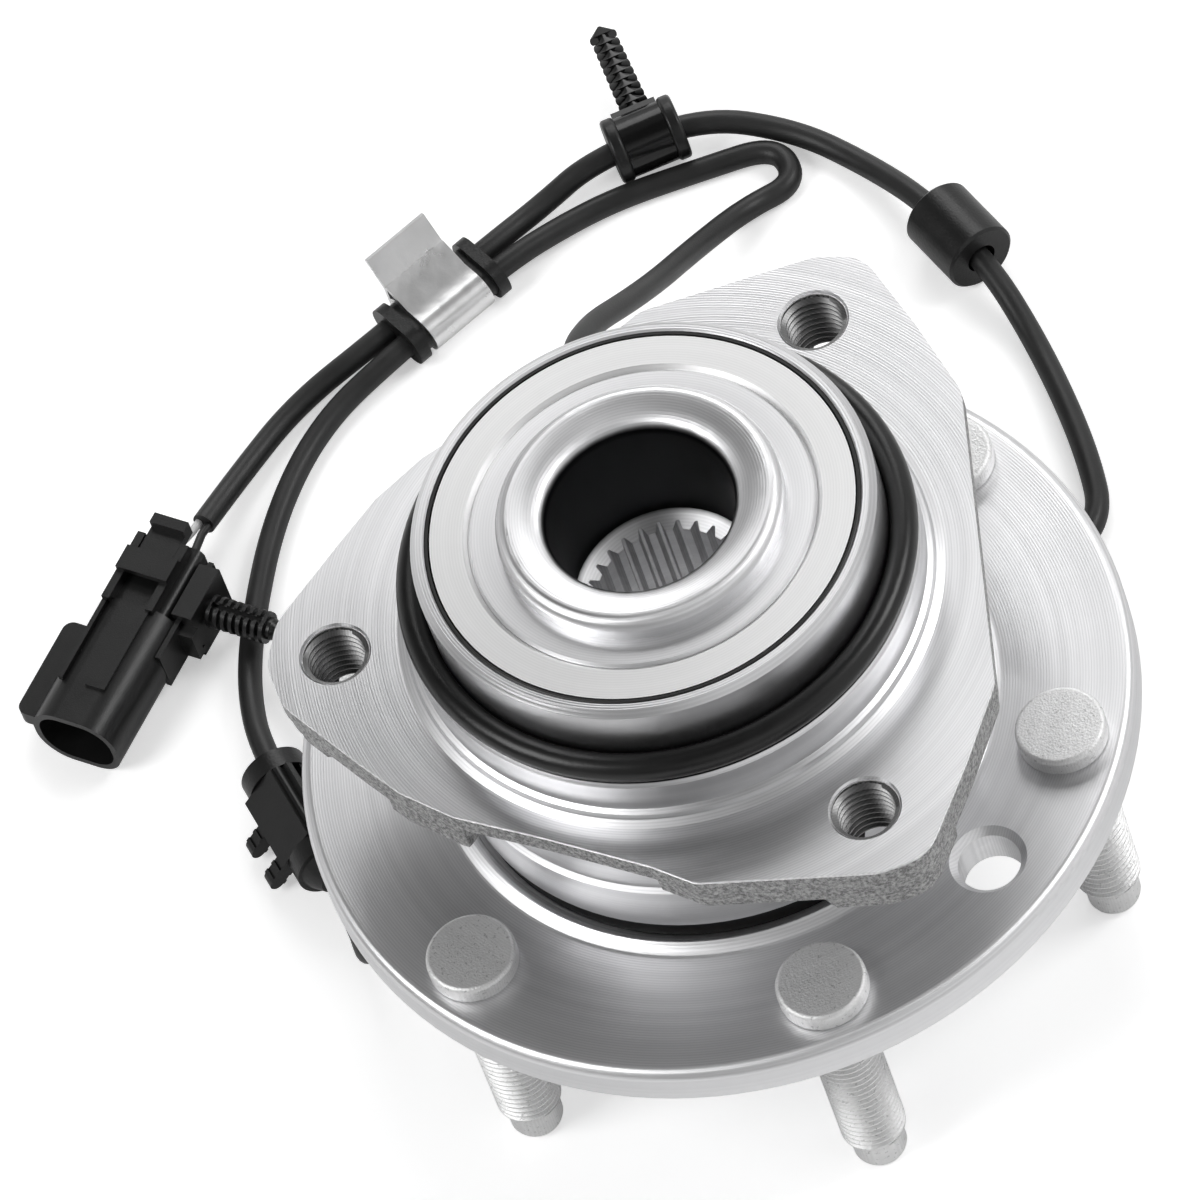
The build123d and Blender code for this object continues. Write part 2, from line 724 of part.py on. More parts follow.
# The thick rubber sleeve on the cable's right-hand side
sleeve_face = Plane(
    origin=sleeve_mid - sleeve_dir * (sleeve_l / 2),
    x_dir=Vector(-sleeve_dir.Y, sleeve_dir.X, 0),
    z_dir=sleeve_dir,
)
with BuildPart() as rubber_sleeve:
    with BuildSketch(sleeve_face):
        Circle(sleeve_r)
    extrude(amount=sleeve_l)
    chamfer(rubber_sleeve.edges().filter_by(GeomType.CIRCLE).group_by(SortBy.RADIUS)[-1], length=0.5)
    with BuildSketch(sleeve_face.offset(sleeve_l)):
        Circle(cable_r + 0.7)
    extrude(amount=-3.0, mode=Mode.SUBTRACT)
    add(sensor_cable.part, mode=Mode.SUBTRACT)

# The fir tree clip: a flanged rubber sleeve, a saddle round it and a barbed stem
tree_sleeve_l = 14.0
tree_flange_t = 2.6
tree_waist_r = 4.6
tree_face = Plane(origin=tree_mid - tree_dir * (tree_sleeve_l / 2), x_dir=tree_side, z_dir=tree_dir)
with BuildPart() as tree_sleeve:
    with BuildSketch(tree_face):
        Circle(tree_waist_r)
    extrude(amount=tree_sleeve_l)
    with BuildSketch(tree_face):
        Circle(flange_sleeve_r)
    extrude(amount=tree_flange_t)
    with BuildSketch(tree_face.offset(tree_sleeve_l - tree_flange_t)):
        Circle(flange_sleeve_r)
    extrude(amount=tree_flange_t)
    fillet(tree_sleeve.edges().filter_by(GeomType.CIRCLE).group_by(SortBy.RADIUS)[-1], radius=0.7)
    add(sensor_cable.part, mode=Mode.SUBTRACT)

saddle_l = tree_sleeve_l - 2 * tree_flange_t
saddle_t = 1.3
barb_count = 8
barb_pitch = 1.75
barb_r = 3.0
stem_r = 1.25
stem_start = tree_waist_r + saddle_t
saddle_face = Plane(origin=tree_mid - tree_dir * (saddle_l / 2), x_dir=tree_side, z_dir=tree_dir)
stem_root = tree_mid + tree_dir * 1.6
stem_plane = Plane(origin=stem_root, x_dir=tree_side, z_dir=tree_dir)
with BuildPart() as tree_clip:
    with BuildSketch(saddle_face):
        Circle(tree_waist_r + saddle_t)
        with Locations((stem_start / 2 + 0.6, 0)):
            Rectangle(stem_start + 1.2, 6.4)
        Circle(tree_waist_r, mode=Mode.SUBTRACT)
    extrude(amount=saddle_l)
    with BuildSketch(stem_plane):
        with BuildLine():
            barbs = [(stem_start, 0), (stem_start, stem_r + 0.8), (stem_start + 1.0, stem_r)]
            for n in range(barb_count):
                root = stem_start + 1.4 + n * barb_pitch
                barbs += [(root + 0.35, stem_r), (root, barb_r - 0.05 * n)]
                barbs += [(root + 0.2, barb_r - 0.05 * n), (root + barb_pitch - 0.35, stem_r)]
            tip = stem_start + 1.4 + barb_count * barb_pitch
            barbs += [(tip, barb_r - 0.2), (tip + 2.8, 0.6), (tip + 2.8, 0)]
            Polyline(*barbs, close=True)
        make_face()
    revolve(axis=Axis(stem_root, tree_side))
    with BuildSketch(stem_plane):
        for side in (-1, 1):
            with Locations((stem_start + 2 + 0.5 * barb_pitch * (barb_count + 3), side * (barb_r + 0.4))):
                Rectangle(barb_pitch * (barb_count + 3), 2.2)
    extrude(amount=6, both=True, mode=Mode.SUBTRACT)

# The two-pin clip: rubber collars and boot on the cable, a rigid body between them
clip_face = Plane(origin=clip_top, x_dir=clip_side, z_dir=clip_dir)
collar_l = 4.0
collar_big_r = 6.3
clip_len = (clip_end - clip_top).length
boot_l = 9.0
with BuildPart() as clip_sleeve:
    with BuildSketch(clip_face.offset(-1.0)):
        Circle(collar_big_r)
    extrude(amount=collar_l)
    with BuildSketch(clip_face):
        Circle(4.2)
    extrude(amount=clip_len)
    with BuildSketch(clip_face.offset(clip_len - collar_l)):
        Circle(collar_big_r)
    extrude(amount=collar_l)
    with BuildSketch(clip_face.offset(clip_len)):
        Circle(collar_big_r - 0.8)
    with BuildSketch(clip_face.offset(clip_len + 3.4)):
        Circle(cable_r + 0.9)
    loft()
    add(sensor_cable.part, mode=Mode.SUBTRACT)

body_l = clip_len - 2 * collar_l + 0.8
body_tilt = 41.0
pin_w = 2.7
pin_out = 9.6            # from the cable's axis to the pin tips
pin_spacing = 8.0
across = clip_side * cos(radians(body_tilt)) + Vector(0, 0, sin(radians(body_tilt)))
body_face = Plane(origin=clip_top + clip_dir * (collar_l - 0.9), x_dir=across, z_dir=clip_dir)
with BuildPart() as two_pin_clip:
    with BuildSketch(body_face):
        RectangleRounded(9.6, 9.8, 0.8)
        # The plate that the pins stand on, and two rails along the upper side
        with Locations((-0.6, 4.9)):
            Rectangle(8.6, 1.6)
        with Locations((5.2, 2.6), (5.2, -0.6)):
            Rectangle(1.6, 1.4)
        Circle(4.2, mode=Mode.SUBTRACT)
    extrude(amount=body_l)
    for along in (-0.5, 0.5):
        pin_at = body_face.offset(body_l / 2 + 1.2 + along * pin_spacing)
        with BuildSketch(pin_at):
            with Locations((-(pin_out + 4.6) / 2, 2.4)):
                RectangleRounded(pin_out - 4.6, pin_w, 1.2)
            with Locations([(-pin_out + 1.4 + 1.5 * n, 2.4) for n in range(3)]):
                Rectangle(0.6, pin_w + 0.6)
        extrude(amount=pin_w / 2, both=True)

# The connector: a deep oval shroud, a rear block with seal, two terminals and a lock
connector_dir = Vector(-0.514, -0.858, 0).normalized()
connector_side = Vector(-connector_dir.Y, connector_dir.X, 0)
connector_rear = Vector(-102.9, 85.7, connector_z)
connector_l = 42.0
shroud_from = 15.0
shroud_w = 17.6
shroud_h = 2 * (connector_z - floor_z)
shroud_wall = 1.3
block_w = 13.0
block_h = 12.0
rail_top = shroud_w / 2 + 0.1
rail_w = 9.2
lock_travel = 4.0
lock_w = 7.2
lock_t = 1.8
lock_x = -0.8
lock_gap = 0.2
lock_wall = 1.6
face0 = Plane(origin=connector_rear, x_dir=connector_side, z_dir=connector_dir)
with BuildPart() as connector_housing:
    with BuildSketch(face0):
        RectangleRounded(block_w, block_h, 1.6)
    extrude(amount=shroud_from + 4)
    with BuildSketch(face0.offset(shroud_from)):
        RectangleRounded(shroud_w, shroud_h, 6.4)
    extrude(amount=connector_l - shroud_from)
    with BuildSketch(face0.offset(shroud_from + 6)):
        RectangleRounded(shroud_w - 2 * shroud_wall, shroud_h - 2 * shroud_wall, 5.2)
    extrude(amount=connector_l, mode=Mode.SUBTRACT)
    # A key wing down one side, and two ribs on top, the right one with a foot
    wing_mid = connector_rear + connector_dir * ((shroud_from + connector_l) / 2 + 1.0)
    wing_mid -= connector_side * (shroud_w / 2 + 2.0) + Vector(0, 0, 2.6)
    with BuildSketch(Plane(origin=wing_mid, x_dir=connector_dir, z_dir=(0, 0, 1))):
        RectangleRounded(connector_l - shroud_from - 6, 6.4, 2.0)
    extrude(amount=3.2)
    with BuildSketch(face0.offset(shroud_from)):
        with Locations((-5.6, shroud_h / 2 - 0.2), (3.4, shroud_h / 2)):
            Rectangle(0.9, 1.1)
    extrude(amount=19)
    with BuildSketch(face0.offset(shroud_from + 18.1)):
        with Locations((1.8, shroud_h / 2)):
            Rectangle(4.0, 1.1)
    extrude(amount=0.9)
    # The rail that the fixing clip slides on, and the guard bridge over the lock
    with BuildSketch(face0.offset(1)):
        with Locations((rail_top - 1.5, 0)):
            Rectangle(3.0, 6.0)
        with Locations((rail_top - 0.5, 0)):
            Rectangle(1.0, rail_w)
    extrude(amount=22)
    with BuildSketch(face0.offset(1)):
        for side in (-1, 1):
            with Locations((lock_x + side * (lock_w / 2 + lock_gap + lock_wall / 2), block_h / 2 + 1.0)):
                Rectangle(lock_wall, 2.4)
    extrude(amount=shroud_from)
    with BuildSketch(face0.offset(lock_travel + 0.8)):
        with Locations((lock_x, block_h / 2 + 1.4)):
            Rectangle(lock_w + 2 * lock_gap + 2 * lock_wall, 3.6)
        with Locations((lock_x, block_h / 2 + lock_t / 2 + lock_gap / 2 - 0.05)):
            Rectangle(lock_w + 2 * lock_gap, lock_t + lock_gap + 0.1, mode=Mode.SUBTRACT)
    extrude(amount=5.0)
    # The cavity for the wire seal, and the bores for the two wires
    with BuildSketch(face0):
        RectangleRounded(8.4, 5.0, 2.2)
    extrude(amount=5.0, mode=Mode.SUBTRACT)
    with BuildSketch(face0):
        with Locations((-1.8, 0), (1.8, 0)):
            Circle(wire_r + 0.35)
    extrude(amount=shroud_from + 7, mode=Mode.SUBTRACT)

with BuildPart() as connector_seal:
    with BuildSketch(face0):
        RectangleRounded(8.4, 5.0, 2.2)
        with Locations((-1.8, 0), (1.8, 0)):
            Circle(wire_r, mode=Mode.SUBTRACT)
    extrude(amount=5.0)

with BuildPart() as connector_terminals:
    with BuildSketch(face0.offset(6)):
        with Locations((-1.8, 0), (1.8, 0)):
            Circle(wire_r + 0.35)
    extrude(amount=shroud_from + 1)
    with BuildSketch(face0.offset(shroud_from + 6)):
        with Locations((-1.8, 0), (1.8, 0)):
            Rectangle(0.8, 1.6)
    extrude(amount=10)

# The position lock, a slide that is pushed forward once the connector is mated
with BuildPart() as connector_lock:
    with BuildSketch(face0.offset(-1.5)):
        with Locations((lock_x, block_h / 2 + lock_t / 2 + lock_gap / 2)):
            Rectangle(lock_w, lock_t)
    extrude(amount=shroud_from - lock_travel - 2.0)
    with BuildSketch(face0.offset(-3.0)):
        with Locations((lock_x, block_h / 2 + 1.8)):
            Rectangle(lock_w, 3.4)
    extrude(amount=2.2)

# The fixing clip on the rail, with its own ribbed stem
rail_clip_w = 11.6
rail_clip_from = 2.6
rail_stem = rail_top + 2.4
jaw_t = 1.2
stem_lift = 1.6          # the stem sits above the rail's middle, clear of the cable
with BuildPart() as rail_clip:
    with BuildSketch(face0.offset(rail_clip_from)):
        with Locations((rail_top + 1.2, 0)):
            Rectangle(2.4, rail_w + 2 * jaw_t + 0.3)
        for side in (-1, 1):
            with Locations((rail_top - 0.9, side * (rail_w + jaw_t + 0.3) / 2)):
                Rectangle(1.8, jaw_t)
            with Locations((rail_top - 1.5, side * (rail_w / 2 + 0.3))):
                Rectangle(0.6, 1.8)
    extrude(amount=rail_clip_w)
    with BuildSketch(face0.offset(rail_clip_from + rail_clip_w)):
        with Locations((rail_top + 1.6, 0)):
            Rectangle(3.2, 7.0)
    extrude(amount=2.4)
    stem_origin = connector_rear + connector_dir * 8.9 + Vector(0, 0, stem_lift)
    with BuildSketch(Plane(origin=stem_origin, x_dir=connector_side, z_dir=connector_dir)):
        with BuildLine():
            ribs = [(rail_stem, 0), (rail_stem, 2.1)]
            for n in range(8):
                x = rail_stem + 0.8 + 1.6 * n
                ribs += [(x, 2.1), (x, 3.1), (x + 0.7, 3.0), (x + 0.7, 2.1)]
            last = rail_stem + 0.8 + 1.6 * 8
            ribs += [(last, 2.1), (last + 1.4, 1.2), (last + 1.4, 0)]
            Polyline(*ribs, close=True)
        make_face()
    revolve(axis=Axis(stem_origin, connector_side))
    with BuildSketch(Plane(origin=stem_origin, x_dir=connector_side, z_dir=connector_dir)):
        for side in (-1, 1):
            with Locations((rail_stem + 9, side * 3.2)):
                Rectangle(17, 1.2)
    extrude(amount=6, both=True, mode=Mode.SUBTRACT)
    # A slot along the top of the stem
    with BuildSketch(Plane(origin=stem_origin + Vector(0, 0, 1.3), x_dir=connector_side, z_dir=(0, 0, 1))):
        with Locations((rail_stem + 6.4, 0)):
            Rectangle(10.4, 1.1)
    extrude(amount=4, mode=Mode.SUBTRACT)

# Two thin wires from the cable's jacket end into the connector's seal
jacket_end = route_points[-1]
jacket_dir = (route_points[-1] - route_points[-2]).normalized()
wire_seal = 4.0
wire_route = []
for side in (-1, 1):
    start = jacket_end + connector_side * side * 1.0
    entry = connector_rear + connector_side * side * 1.8
    wire_route.append(
        (start, start + jacket_dir * 2.4, entry - connector_dir * 2.4, entry + connector_dir * wire_seal)
    )

with BuildPart() as wire_white:
    with BuildLine() as white_line:
        FilletPolyline(*wire_route[0], radius=2.4)
    with BuildSketch(Plane(origin=white_line.line @ 0, z_dir=white_line.line % 0)):
        Circle(wire_r)
    sweep()

with BuildPart() as wire_black:
    with BuildLine() as black_line:
        FilletPolyline(*wire_route[1], radius=2.4)
    with BuildSketch(Plane(origin=black_line.line @ 0, z_dir=black_line.line % 0)):
        Circle(wire_r)
    sweep()

pieces = {
    "wheel_hub": wheel_hub,
    "wheel_studs": wheel_studs,
    "inner_ring": inner_ring,
    "tone_ring": tone_ring,
    "inboard_slinger": inboard_slinger,
    "inboard_seal": inboard_seal,
    "outboard_seal": outboard_seal,
    "balls_outboard": balls_outboard,
    "balls_inboard": balls_inboard,
    "cage_outboard": cage_outboard,
    "cage_inboard": cage_inboard,
    "outer_ring": outer_ring,
    "pilot_o_ring": pilot_o_ring,
    "speed_sensor": speed_sensor,
    "sensor_o_ring": sensor_o_ring,
    "sensor_screw": sensor_screw,
    "sensor_cable": sensor_cable,
    "strand_grommet": strand_grommet,
    "cable_clamp": cable_clamp,
    "rubber_sleeve": rubber_sleeve,
    "tree_sleeve": tree_sleeve,
    "tree_clip": tree_clip,
    "clip_sleeve": clip_sleeve,
    "two_pin_clip": two_pin_clip,
    "connector_housing": connector_housing,
    "connector_seal": connector_seal,
    "connector_terminals": connector_terminals,
    "connector_lock": connector_lock,
    "rail_clip": rail_clip,
    "wire_white": wire_white,
    "wire_black": wire_black,
}
for name, piece in pieces.items():
    piece.part.label = name
    box = piece.part.bounding_box()
    print(
        f"{name:20s} solids {len(piece.part.solids()):2d} volume {piece.part.volume:10.1f}"
        f"  x {box.min.X:7.1f} {box.max.X:7.1f}  y {box.min.Y:7.1f} {box.max.Y:7.1f}"
        f"  z {box.min.Z:7.1f} {box.max.Z:7.1f}"
    )
    export_step(piece.part, f"parts/{name}.step")
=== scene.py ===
import json
import math

import bmesh
import bpy
from mathutils import Matrix, Vector


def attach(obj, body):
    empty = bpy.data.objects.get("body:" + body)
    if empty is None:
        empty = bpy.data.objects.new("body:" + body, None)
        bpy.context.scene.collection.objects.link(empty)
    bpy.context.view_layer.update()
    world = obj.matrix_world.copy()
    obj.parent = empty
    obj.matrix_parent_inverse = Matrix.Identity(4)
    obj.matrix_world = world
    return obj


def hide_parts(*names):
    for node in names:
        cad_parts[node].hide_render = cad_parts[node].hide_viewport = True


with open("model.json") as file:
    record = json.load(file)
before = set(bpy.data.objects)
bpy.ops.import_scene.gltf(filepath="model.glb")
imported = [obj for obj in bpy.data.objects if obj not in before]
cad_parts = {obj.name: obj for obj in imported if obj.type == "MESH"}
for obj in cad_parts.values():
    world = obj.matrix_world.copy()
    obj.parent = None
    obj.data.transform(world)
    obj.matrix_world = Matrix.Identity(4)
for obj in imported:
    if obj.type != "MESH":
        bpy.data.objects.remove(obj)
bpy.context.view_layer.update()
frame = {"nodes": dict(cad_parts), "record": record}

scene = bpy.context.scene

# Camera: a long lens, high in front of the part and a little to its right, rolled so that
# the hub axis leans to the left of the picture.
photo_lens = bpy.data.cameras.new("photo_lens")
photo_lens.lens = 360
photo_lens.sensor_width = 36
photo_lens.clip_end = 20
photo_camera = bpy.data.objects.new("photo_camera", photo_lens)
scene.collection.objects.link(photo_camera)
picture_right = Vector((0.97499, -0.07528, -0.20913))
picture_up = Vector((0.18048, 0.81729, 0.54723))
towards_lens = Vector((0.12972, -0.57129, 0.81043))
lens_place = Vector((0.25757, -1.18786, 1.73284))
photo_camera.matrix_world = Matrix.Translation(lens_place) @ Matrix(
    (picture_right, picture_up, towards_lens)
).transposed().to_4x4()
scene.camera = photo_camera


# Sensor cable: two cores in a round black rubber jacket, 4.5 mm thick. It leaves the sensor
# in the back of the outer ring, falls to the table and lies there in one loose loop. The
# route has the points of the solid, in metres, the third one moved to follow the photograph.
def start_finish(name, colour, metallic, roughness):
    finish = bpy.data.materials.new(name)
    finish.use_nodes = True
    shader = finish.node_tree.nodes["Principled BSDF"]
    shader.inputs["Base Color"].default_value = (*colour, 1)
    shader.inputs["Metallic"].default_value = metallic
    shader.inputs["Roughness"].default_value = roughness
    return finish, finish.node_tree, shader


def place_group(tree, group, **values):
    node = tree.nodes.new("ShaderNodeGroup")
    node.node_tree = group
    for name, value in values.items():
        node.inputs[name].default_value = value
    return node


def blend_colours(tree, mask, dark, light):
    ramp = tree.nodes.new("ShaderNodeMix")
    ramp.data_type = "RGBA"
    tree.links.new(mask, ramp.inputs["Factor"])
    ramp.inputs["A"].default_value = (*dark, 1)
    ramp.inputs["B"].default_value = (*light, 1)
    return ramp.outputs["Result"]


def blend_values(tree, mask, low, high):
    ramp = tree.nodes.new("ShaderNodeMapRange")
    tree.links.new(mask, ramp.inputs["Value"])
    ramp.inputs["To Min"].default_value = low
    ramp.inputs["To Max"].default_value = high
    return ramp.outputs["Result"]


def raise_relief(tree, shader, height, depth):
    bump = tree.nodes.new("ShaderNodeBump")
    bump.inputs["Distance"].default_value = depth
    bump.inputs["Strength"].default_value = 1.0
    tree.links.new(height, bump.inputs["Height"])
    tree.links.new(bump.outputs["Normal"], shader.inputs["Normal"])


def start_group(name, inputs, outputs):
    group = bpy.data.node_groups.new(name, "ShaderNodeTree")
    for label, value in inputs.items():
        socket = group.interface.new_socket(label, in_out="INPUT", socket_type="NodeSocketFloat")
        socket.default_value = value
    for label in outputs:
        group.interface.new_socket(label, in_out="OUTPUT", socket_type="NodeSocketFloat")
    return group, group.nodes.new("NodeGroupInput"), group.nodes.new("NodeGroupOutput")


rubber_skin, skin_in, skin_out = start_group(
    "rubber_skin", {"Grain": 2500.0, "Bloom": 120.0}, ["Relief", "Bloom"]
)
skin_place = rubber_skin.nodes.new("ShaderNodeTexCoord")
for label, detail, result in (("Grain", 2.0, "Relief"), ("Bloom", 5.0, "Bloom")):
    skin_noise = rubber_skin.nodes.new("ShaderNodeTexNoise")
    skin_noise.inputs["Detail"].default_value = detail
    rubber_skin.links.new(skin_place.outputs["Object"], skin_noise.inputs["Vector"])
    rubber_skin.links.new(skin_in.outputs[label], skin_noise.inputs["Scale"])
    rubber_skin.links.new(skin_noise.outputs["Fac"], skin_out.inputs[result])


def rubber_finish(name, dark, light, dull, shine, grain, relief):
    finish, tree, shader = start_finish(name, dark, 0.0, dull)
    shader.inputs["Specular IOR Level"].default_value = 0.4
    skin = place_group(tree, rubber_skin, Grain=grain, Bloom=160.0)
    colour = blend_colours(tree, skin.outputs["Bloom"], dark, light)
    tree.links.new(colour, shader.inputs["Base Color"])
    tree.links.new(blend_values(tree, skin.outputs["Bloom"], shine, dull), shader.inputs["Roughness"])
    raise_relief(tree, shader, skin.outputs["Relief"], relief)
    return finish


jacket_rubber = rubber_finish("jacket_rubber", (0.010,) * 3, (0.026,) * 3, 0.50, 0.36, 2600.0, 0.00003)

sensor_angle = math.radians(105)
sensor_out = Vector((math.cos(sensor_angle), math.sin(sensor_angle), 0))
sensor_radius = 0.0538
sensor_height = 0.0322
outlet_slope = math.radians(40)
outlet_length = 0.0115
outlet_way = sensor_out * math.cos(outlet_slope) - Vector((0, 0, math.sin(outlet_slope)))
outlet_end = sensor_out * sensor_radius + Vector((0, 0, sensor_height)) + outlet_way * outlet_length
cable_thickness = 0.0045
on_table = -0.04175
grommet_middle = Vector((-0.0506, 0.1353, -0.0398))
grommet_way = Vector((0.809, 0.588, 0)).normalized()
grommet_across = Vector((-grommet_way.y, grommet_way.x, 0))
grommet_reach = 0.0139
strand_offset = 0.0025
clip_top = Vector((-0.0879, 0.0339, -0.0360))
clip_low = Vector((-0.0791, 0.0120, -0.0360))
clip_way = (clip_low - clip_top).normalized()
sleeve_middle = Vector((0.0472, 0.1261, -0.0371))
sleeve_way = Vector((0.51, -0.86, 0)).normalized()
sleeve_reach = 0.010
stem_middle = Vector((-0.0092, 0.1619, -0.0377))
stem_sleeve_way = Vector((0.967, 0.255, 0)).normalized()
stem_sleeve_reach = 0.011
cable_points = [
    outlet_end,
    outlet_end + outlet_way * 0.009,
    (-0.0181, 0.0832, 0.0125),
    (-0.0082, 0.1081, -0.0120),
    (-0.0015, 0.1320, -0.0340),
    (0.0075, 0.1446, on_table),
    (0.0179, 0.1484, on_table),
    (0.0146, 0.1579, on_table),
    (-0.0001, 0.1555, on_table),
    (-0.0160, 0.1526, on_table),
    (-0.0270, 0.1480, on_table + 0.0006),
    grommet_middle + grommet_way * grommet_reach - grommet_across * strand_offset,
    grommet_middle - grommet_way * grommet_reach - grommet_across * strand_offset,
    (-0.0755, 0.1140, on_table),
    (-0.0855, 0.0955, on_table),
    (-0.0913, 0.0720, on_table),
    (-0.0926, 0.0550, on_table + 0.0015),
    clip_top - clip_way * 0.005,
    clip_low + clip_way * 0.004,
    (-0.0758, 0.0016, on_table + 0.0014),
    (-0.0734, -0.0064, on_table + 0.0036),
    (-0.0726, -0.0108, on_table + 0.0110),
    (-0.0726, -0.0081, on_table + 0.0196),
    (-0.0729, 0.0003, on_table + 0.0252),
    (-0.0738, 0.0106, on_table + 0.0220),
    (-0.0742, 0.0188, on_table + 0.0158),
    (-0.0716, 0.0284, on_table + 0.0104),
    (-0.0674, 0.0430, on_table + 0.0034),
    (-0.0550, 0.0600, on_table),
    (-0.0345, 0.0765, on_table),
    (-0.0060, 0.0848, on_table),
    (0.0180, 0.0846, on_table),
    (0.0310, 0.0806, on_table),
    (0.0374, 0.0718, on_table),
    (0.0382, 0.0610, on_table),
    (0.0468, 0.0530, on_table),
    (0.0586, 0.0526, on_table),
    (0.0668, 0.0609, on_table),
    (0.0656, 0.0740, on_table),
    (0.0626, 0.0881, on_table),
    (0.0580, 0.1040, on_table),
    sleeve_middle + sleeve_way * sleeve_reach,
    sleeve_middle - sleeve_way * sleeve_reach,
    (0.0312, 0.1494, on_table),
    (0.0185, 0.1604, on_table),
    stem_middle + stem_sleeve_way * stem_sleeve_reach,
    stem_middle - stem_sleeve_way * stem_sleeve_reach,
    (-0.0306, 0.1536, on_table + 0.0006),
    grommet_middle + grommet_way * grommet_reach + grommet_across * strand_offset,
    grommet_middle - grommet_way * grommet_reach + grommet_across * strand_offset,
    (-0.0800, 0.1194, on_table),
    (-0.0916, 0.1050, on_table + 0.0008),
    (-0.0984, 0.0940, on_table + 0.0032),
]
cable_curve = bpy.data.curves.new("sensor_cable_jacket", "CURVE")
cable_curve.dimensions = "3D"
cable_line = cable_curve.splines.new("NURBS")
cable_line.points.add(len(cable_points) - 1)
for control, point in zip(cable_line.points, cable_points):
    control.co = (*point, 1)
cable_line.order_u = 3
cable_line.use_endpoint_u = True
cable_curve.resolution_u = 10
cable_curve.bevel_depth = cable_thickness / 2
cable_curve.bevel_resolution = 6
cable_curve.use_fill_caps = True
cable_curve.materials.append(jacket_rubber)
cable = bpy.data.objects.new("sensor_cable_jacket", cable_curve)
scene.collection.objects.link(cable)
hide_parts("sensor_cable")
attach(cable, "outer_ring")


# Wheel hub: a steel forging, turned all over. The wheel flange, the hollow spindle and the
# outboard raceway are one piece, and its end is rolled over the inner ring to hold it. The
# rounding of the flange's rim is shaded from its true radius, as its triangles are uneven.
def declare(piece, node):
    """Puts a piece in the place of a solid: hides the solid and gives the piece the same body."""
    bodies = frame["record"]["behaviour"]["bodies"]
    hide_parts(node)
    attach(piece, next(body for body, names in bodies.items() if node in names))
    return piece


def round_shading(piece_mesh, sharp):
    """Shades faces as one surface, except across edges of more than the sharp angle."""
    for edge in piece_mesh.edges:
        edge.smooth = len(edge.link_faces) == 2 and edge.calc_face_angle(3.0) < math.radians(sharp)
    for face in piece_mesh.faces:
        face.smooth = True
        face.material_index = 0


def make_piece(name, piece_mesh, finish, sharp=30):
    round_shading(piece_mesh, sharp)
    mesh = bpy.data.meshes.new(name)
    piece_mesh.to_mesh(mesh)
    piece_mesh.free()
    mesh.materials.append(finish)
    piece = bpy.data.objects.new(name, mesh)
    scene.collection.objects.link(piece)
    weights = piece.modifiers.new("even_shading", "WEIGHTED_NORMAL")
    weights.keep_sharp = True
    return piece


def copy_solid(node):
    """Gives a copy of a solid's mesh with its loose triangles merged."""
    piece_mesh = bmesh.new()
    piece_mesh.from_mesh(frame["nodes"][node].data)
    bmesh.ops.remove_doubles(piece_mesh, verts=piece_mesh.verts, dist=1e-6)
    return piece_mesh


def dress(node, finish, sharp=30):
    """Puts a finish on a copy of a solid and rounds its shading between sharp edges."""
    return declare(make_piece(node + "_finished", copy_solid(node), finish, sharp), node)


turning_marks, marks_in, marks_out = start_group(
    "turning_marks",
    {"Feed": 9000.0, "Bands": 420.0, "Lines": 12500.0},
    ["Relief", "Bands", "Smudge", "Height", "Radius"],
)
marks_place = turning_marks.nodes.new("ShaderNodeTexCoord")
marks_parts = turning_marks.nodes.new("ShaderNodeSeparateXYZ")
marks_flat = turning_marks.nodes.new("ShaderNodeCombineXYZ")
marks_radius = turning_marks.nodes.new("ShaderNodeVectorMath")
marks_radius.operation = "LENGTH"
marks_line = turning_marks.nodes.new("ShaderNodeCombineXYZ")
turning_marks.links.new(marks_place.outputs["Object"], marks_parts.inputs[0])
turning_marks.links.new(marks_parts.outputs["X"], marks_flat.inputs["X"])
turning_marks.links.new(marks_parts.outputs["Y"], marks_flat.inputs["Y"])
turning_marks.links.new(marks_flat.outputs[0], marks_radius.inputs[0])
turning_marks.links.new(marks_radius.outputs["Value"], marks_line.inputs["X"])
turning_marks.links.new(marks_parts.outputs["Z"], marks_line.inputs["Y"])
marks_feed = turning_marks.nodes.new("ShaderNodeTexNoise")
marks_feed.inputs["Detail"].default_value = 3.0
marks_band = turning_marks.nodes.new("ShaderNodeTexNoise")
marks_band.inputs["Detail"].default_value = 2.0
marks_smudge = turning_marks.nodes.new("ShaderNodeTexNoise")
marks_smudge.inputs["Scale"].default_value = 45.0
marks_smudge.inputs["Detail"].default_value = 4.0
marks_phase = turning_marks.nodes.new("ShaderNodeMath")
marks_phase.operation = "MULTIPLY"
marks_wave = turning_marks.nodes.new("ShaderNodeMath")
marks_wave.operation = "SINE"
marks_sum = turning_marks.nodes.new("ShaderNodeMath")
marks_sum.operation = "MULTIPLY_ADD"
marks_sum.inputs[1].default_value = 0.22
turning_marks.links.new(marks_line.outputs[0], marks_feed.inputs["Vector"])
turning_marks.links.new(marks_line.outputs[0], marks_band.inputs["Vector"])
turning_marks.links.new(marks_place.outputs["Object"], marks_smudge.inputs["Vector"])
turning_marks.links.new(marks_in.outputs["Feed"], marks_feed.inputs["Scale"])
turning_marks.links.new(marks_in.outputs["Bands"], marks_band.inputs["Scale"])
turning_marks.links.new(marks_radius.outputs["Value"], marks_phase.inputs[0])
turning_marks.links.new(marks_in.outputs["Lines"], marks_phase.inputs[1])
turning_marks.links.new(marks_phase.outputs[0], marks_wave.inputs[0])
turning_marks.links.new(marks_wave.outputs[0], marks_sum.inputs[0])
turning_marks.links.new(marks_feed.outputs["Fac"], marks_sum.inputs[2])
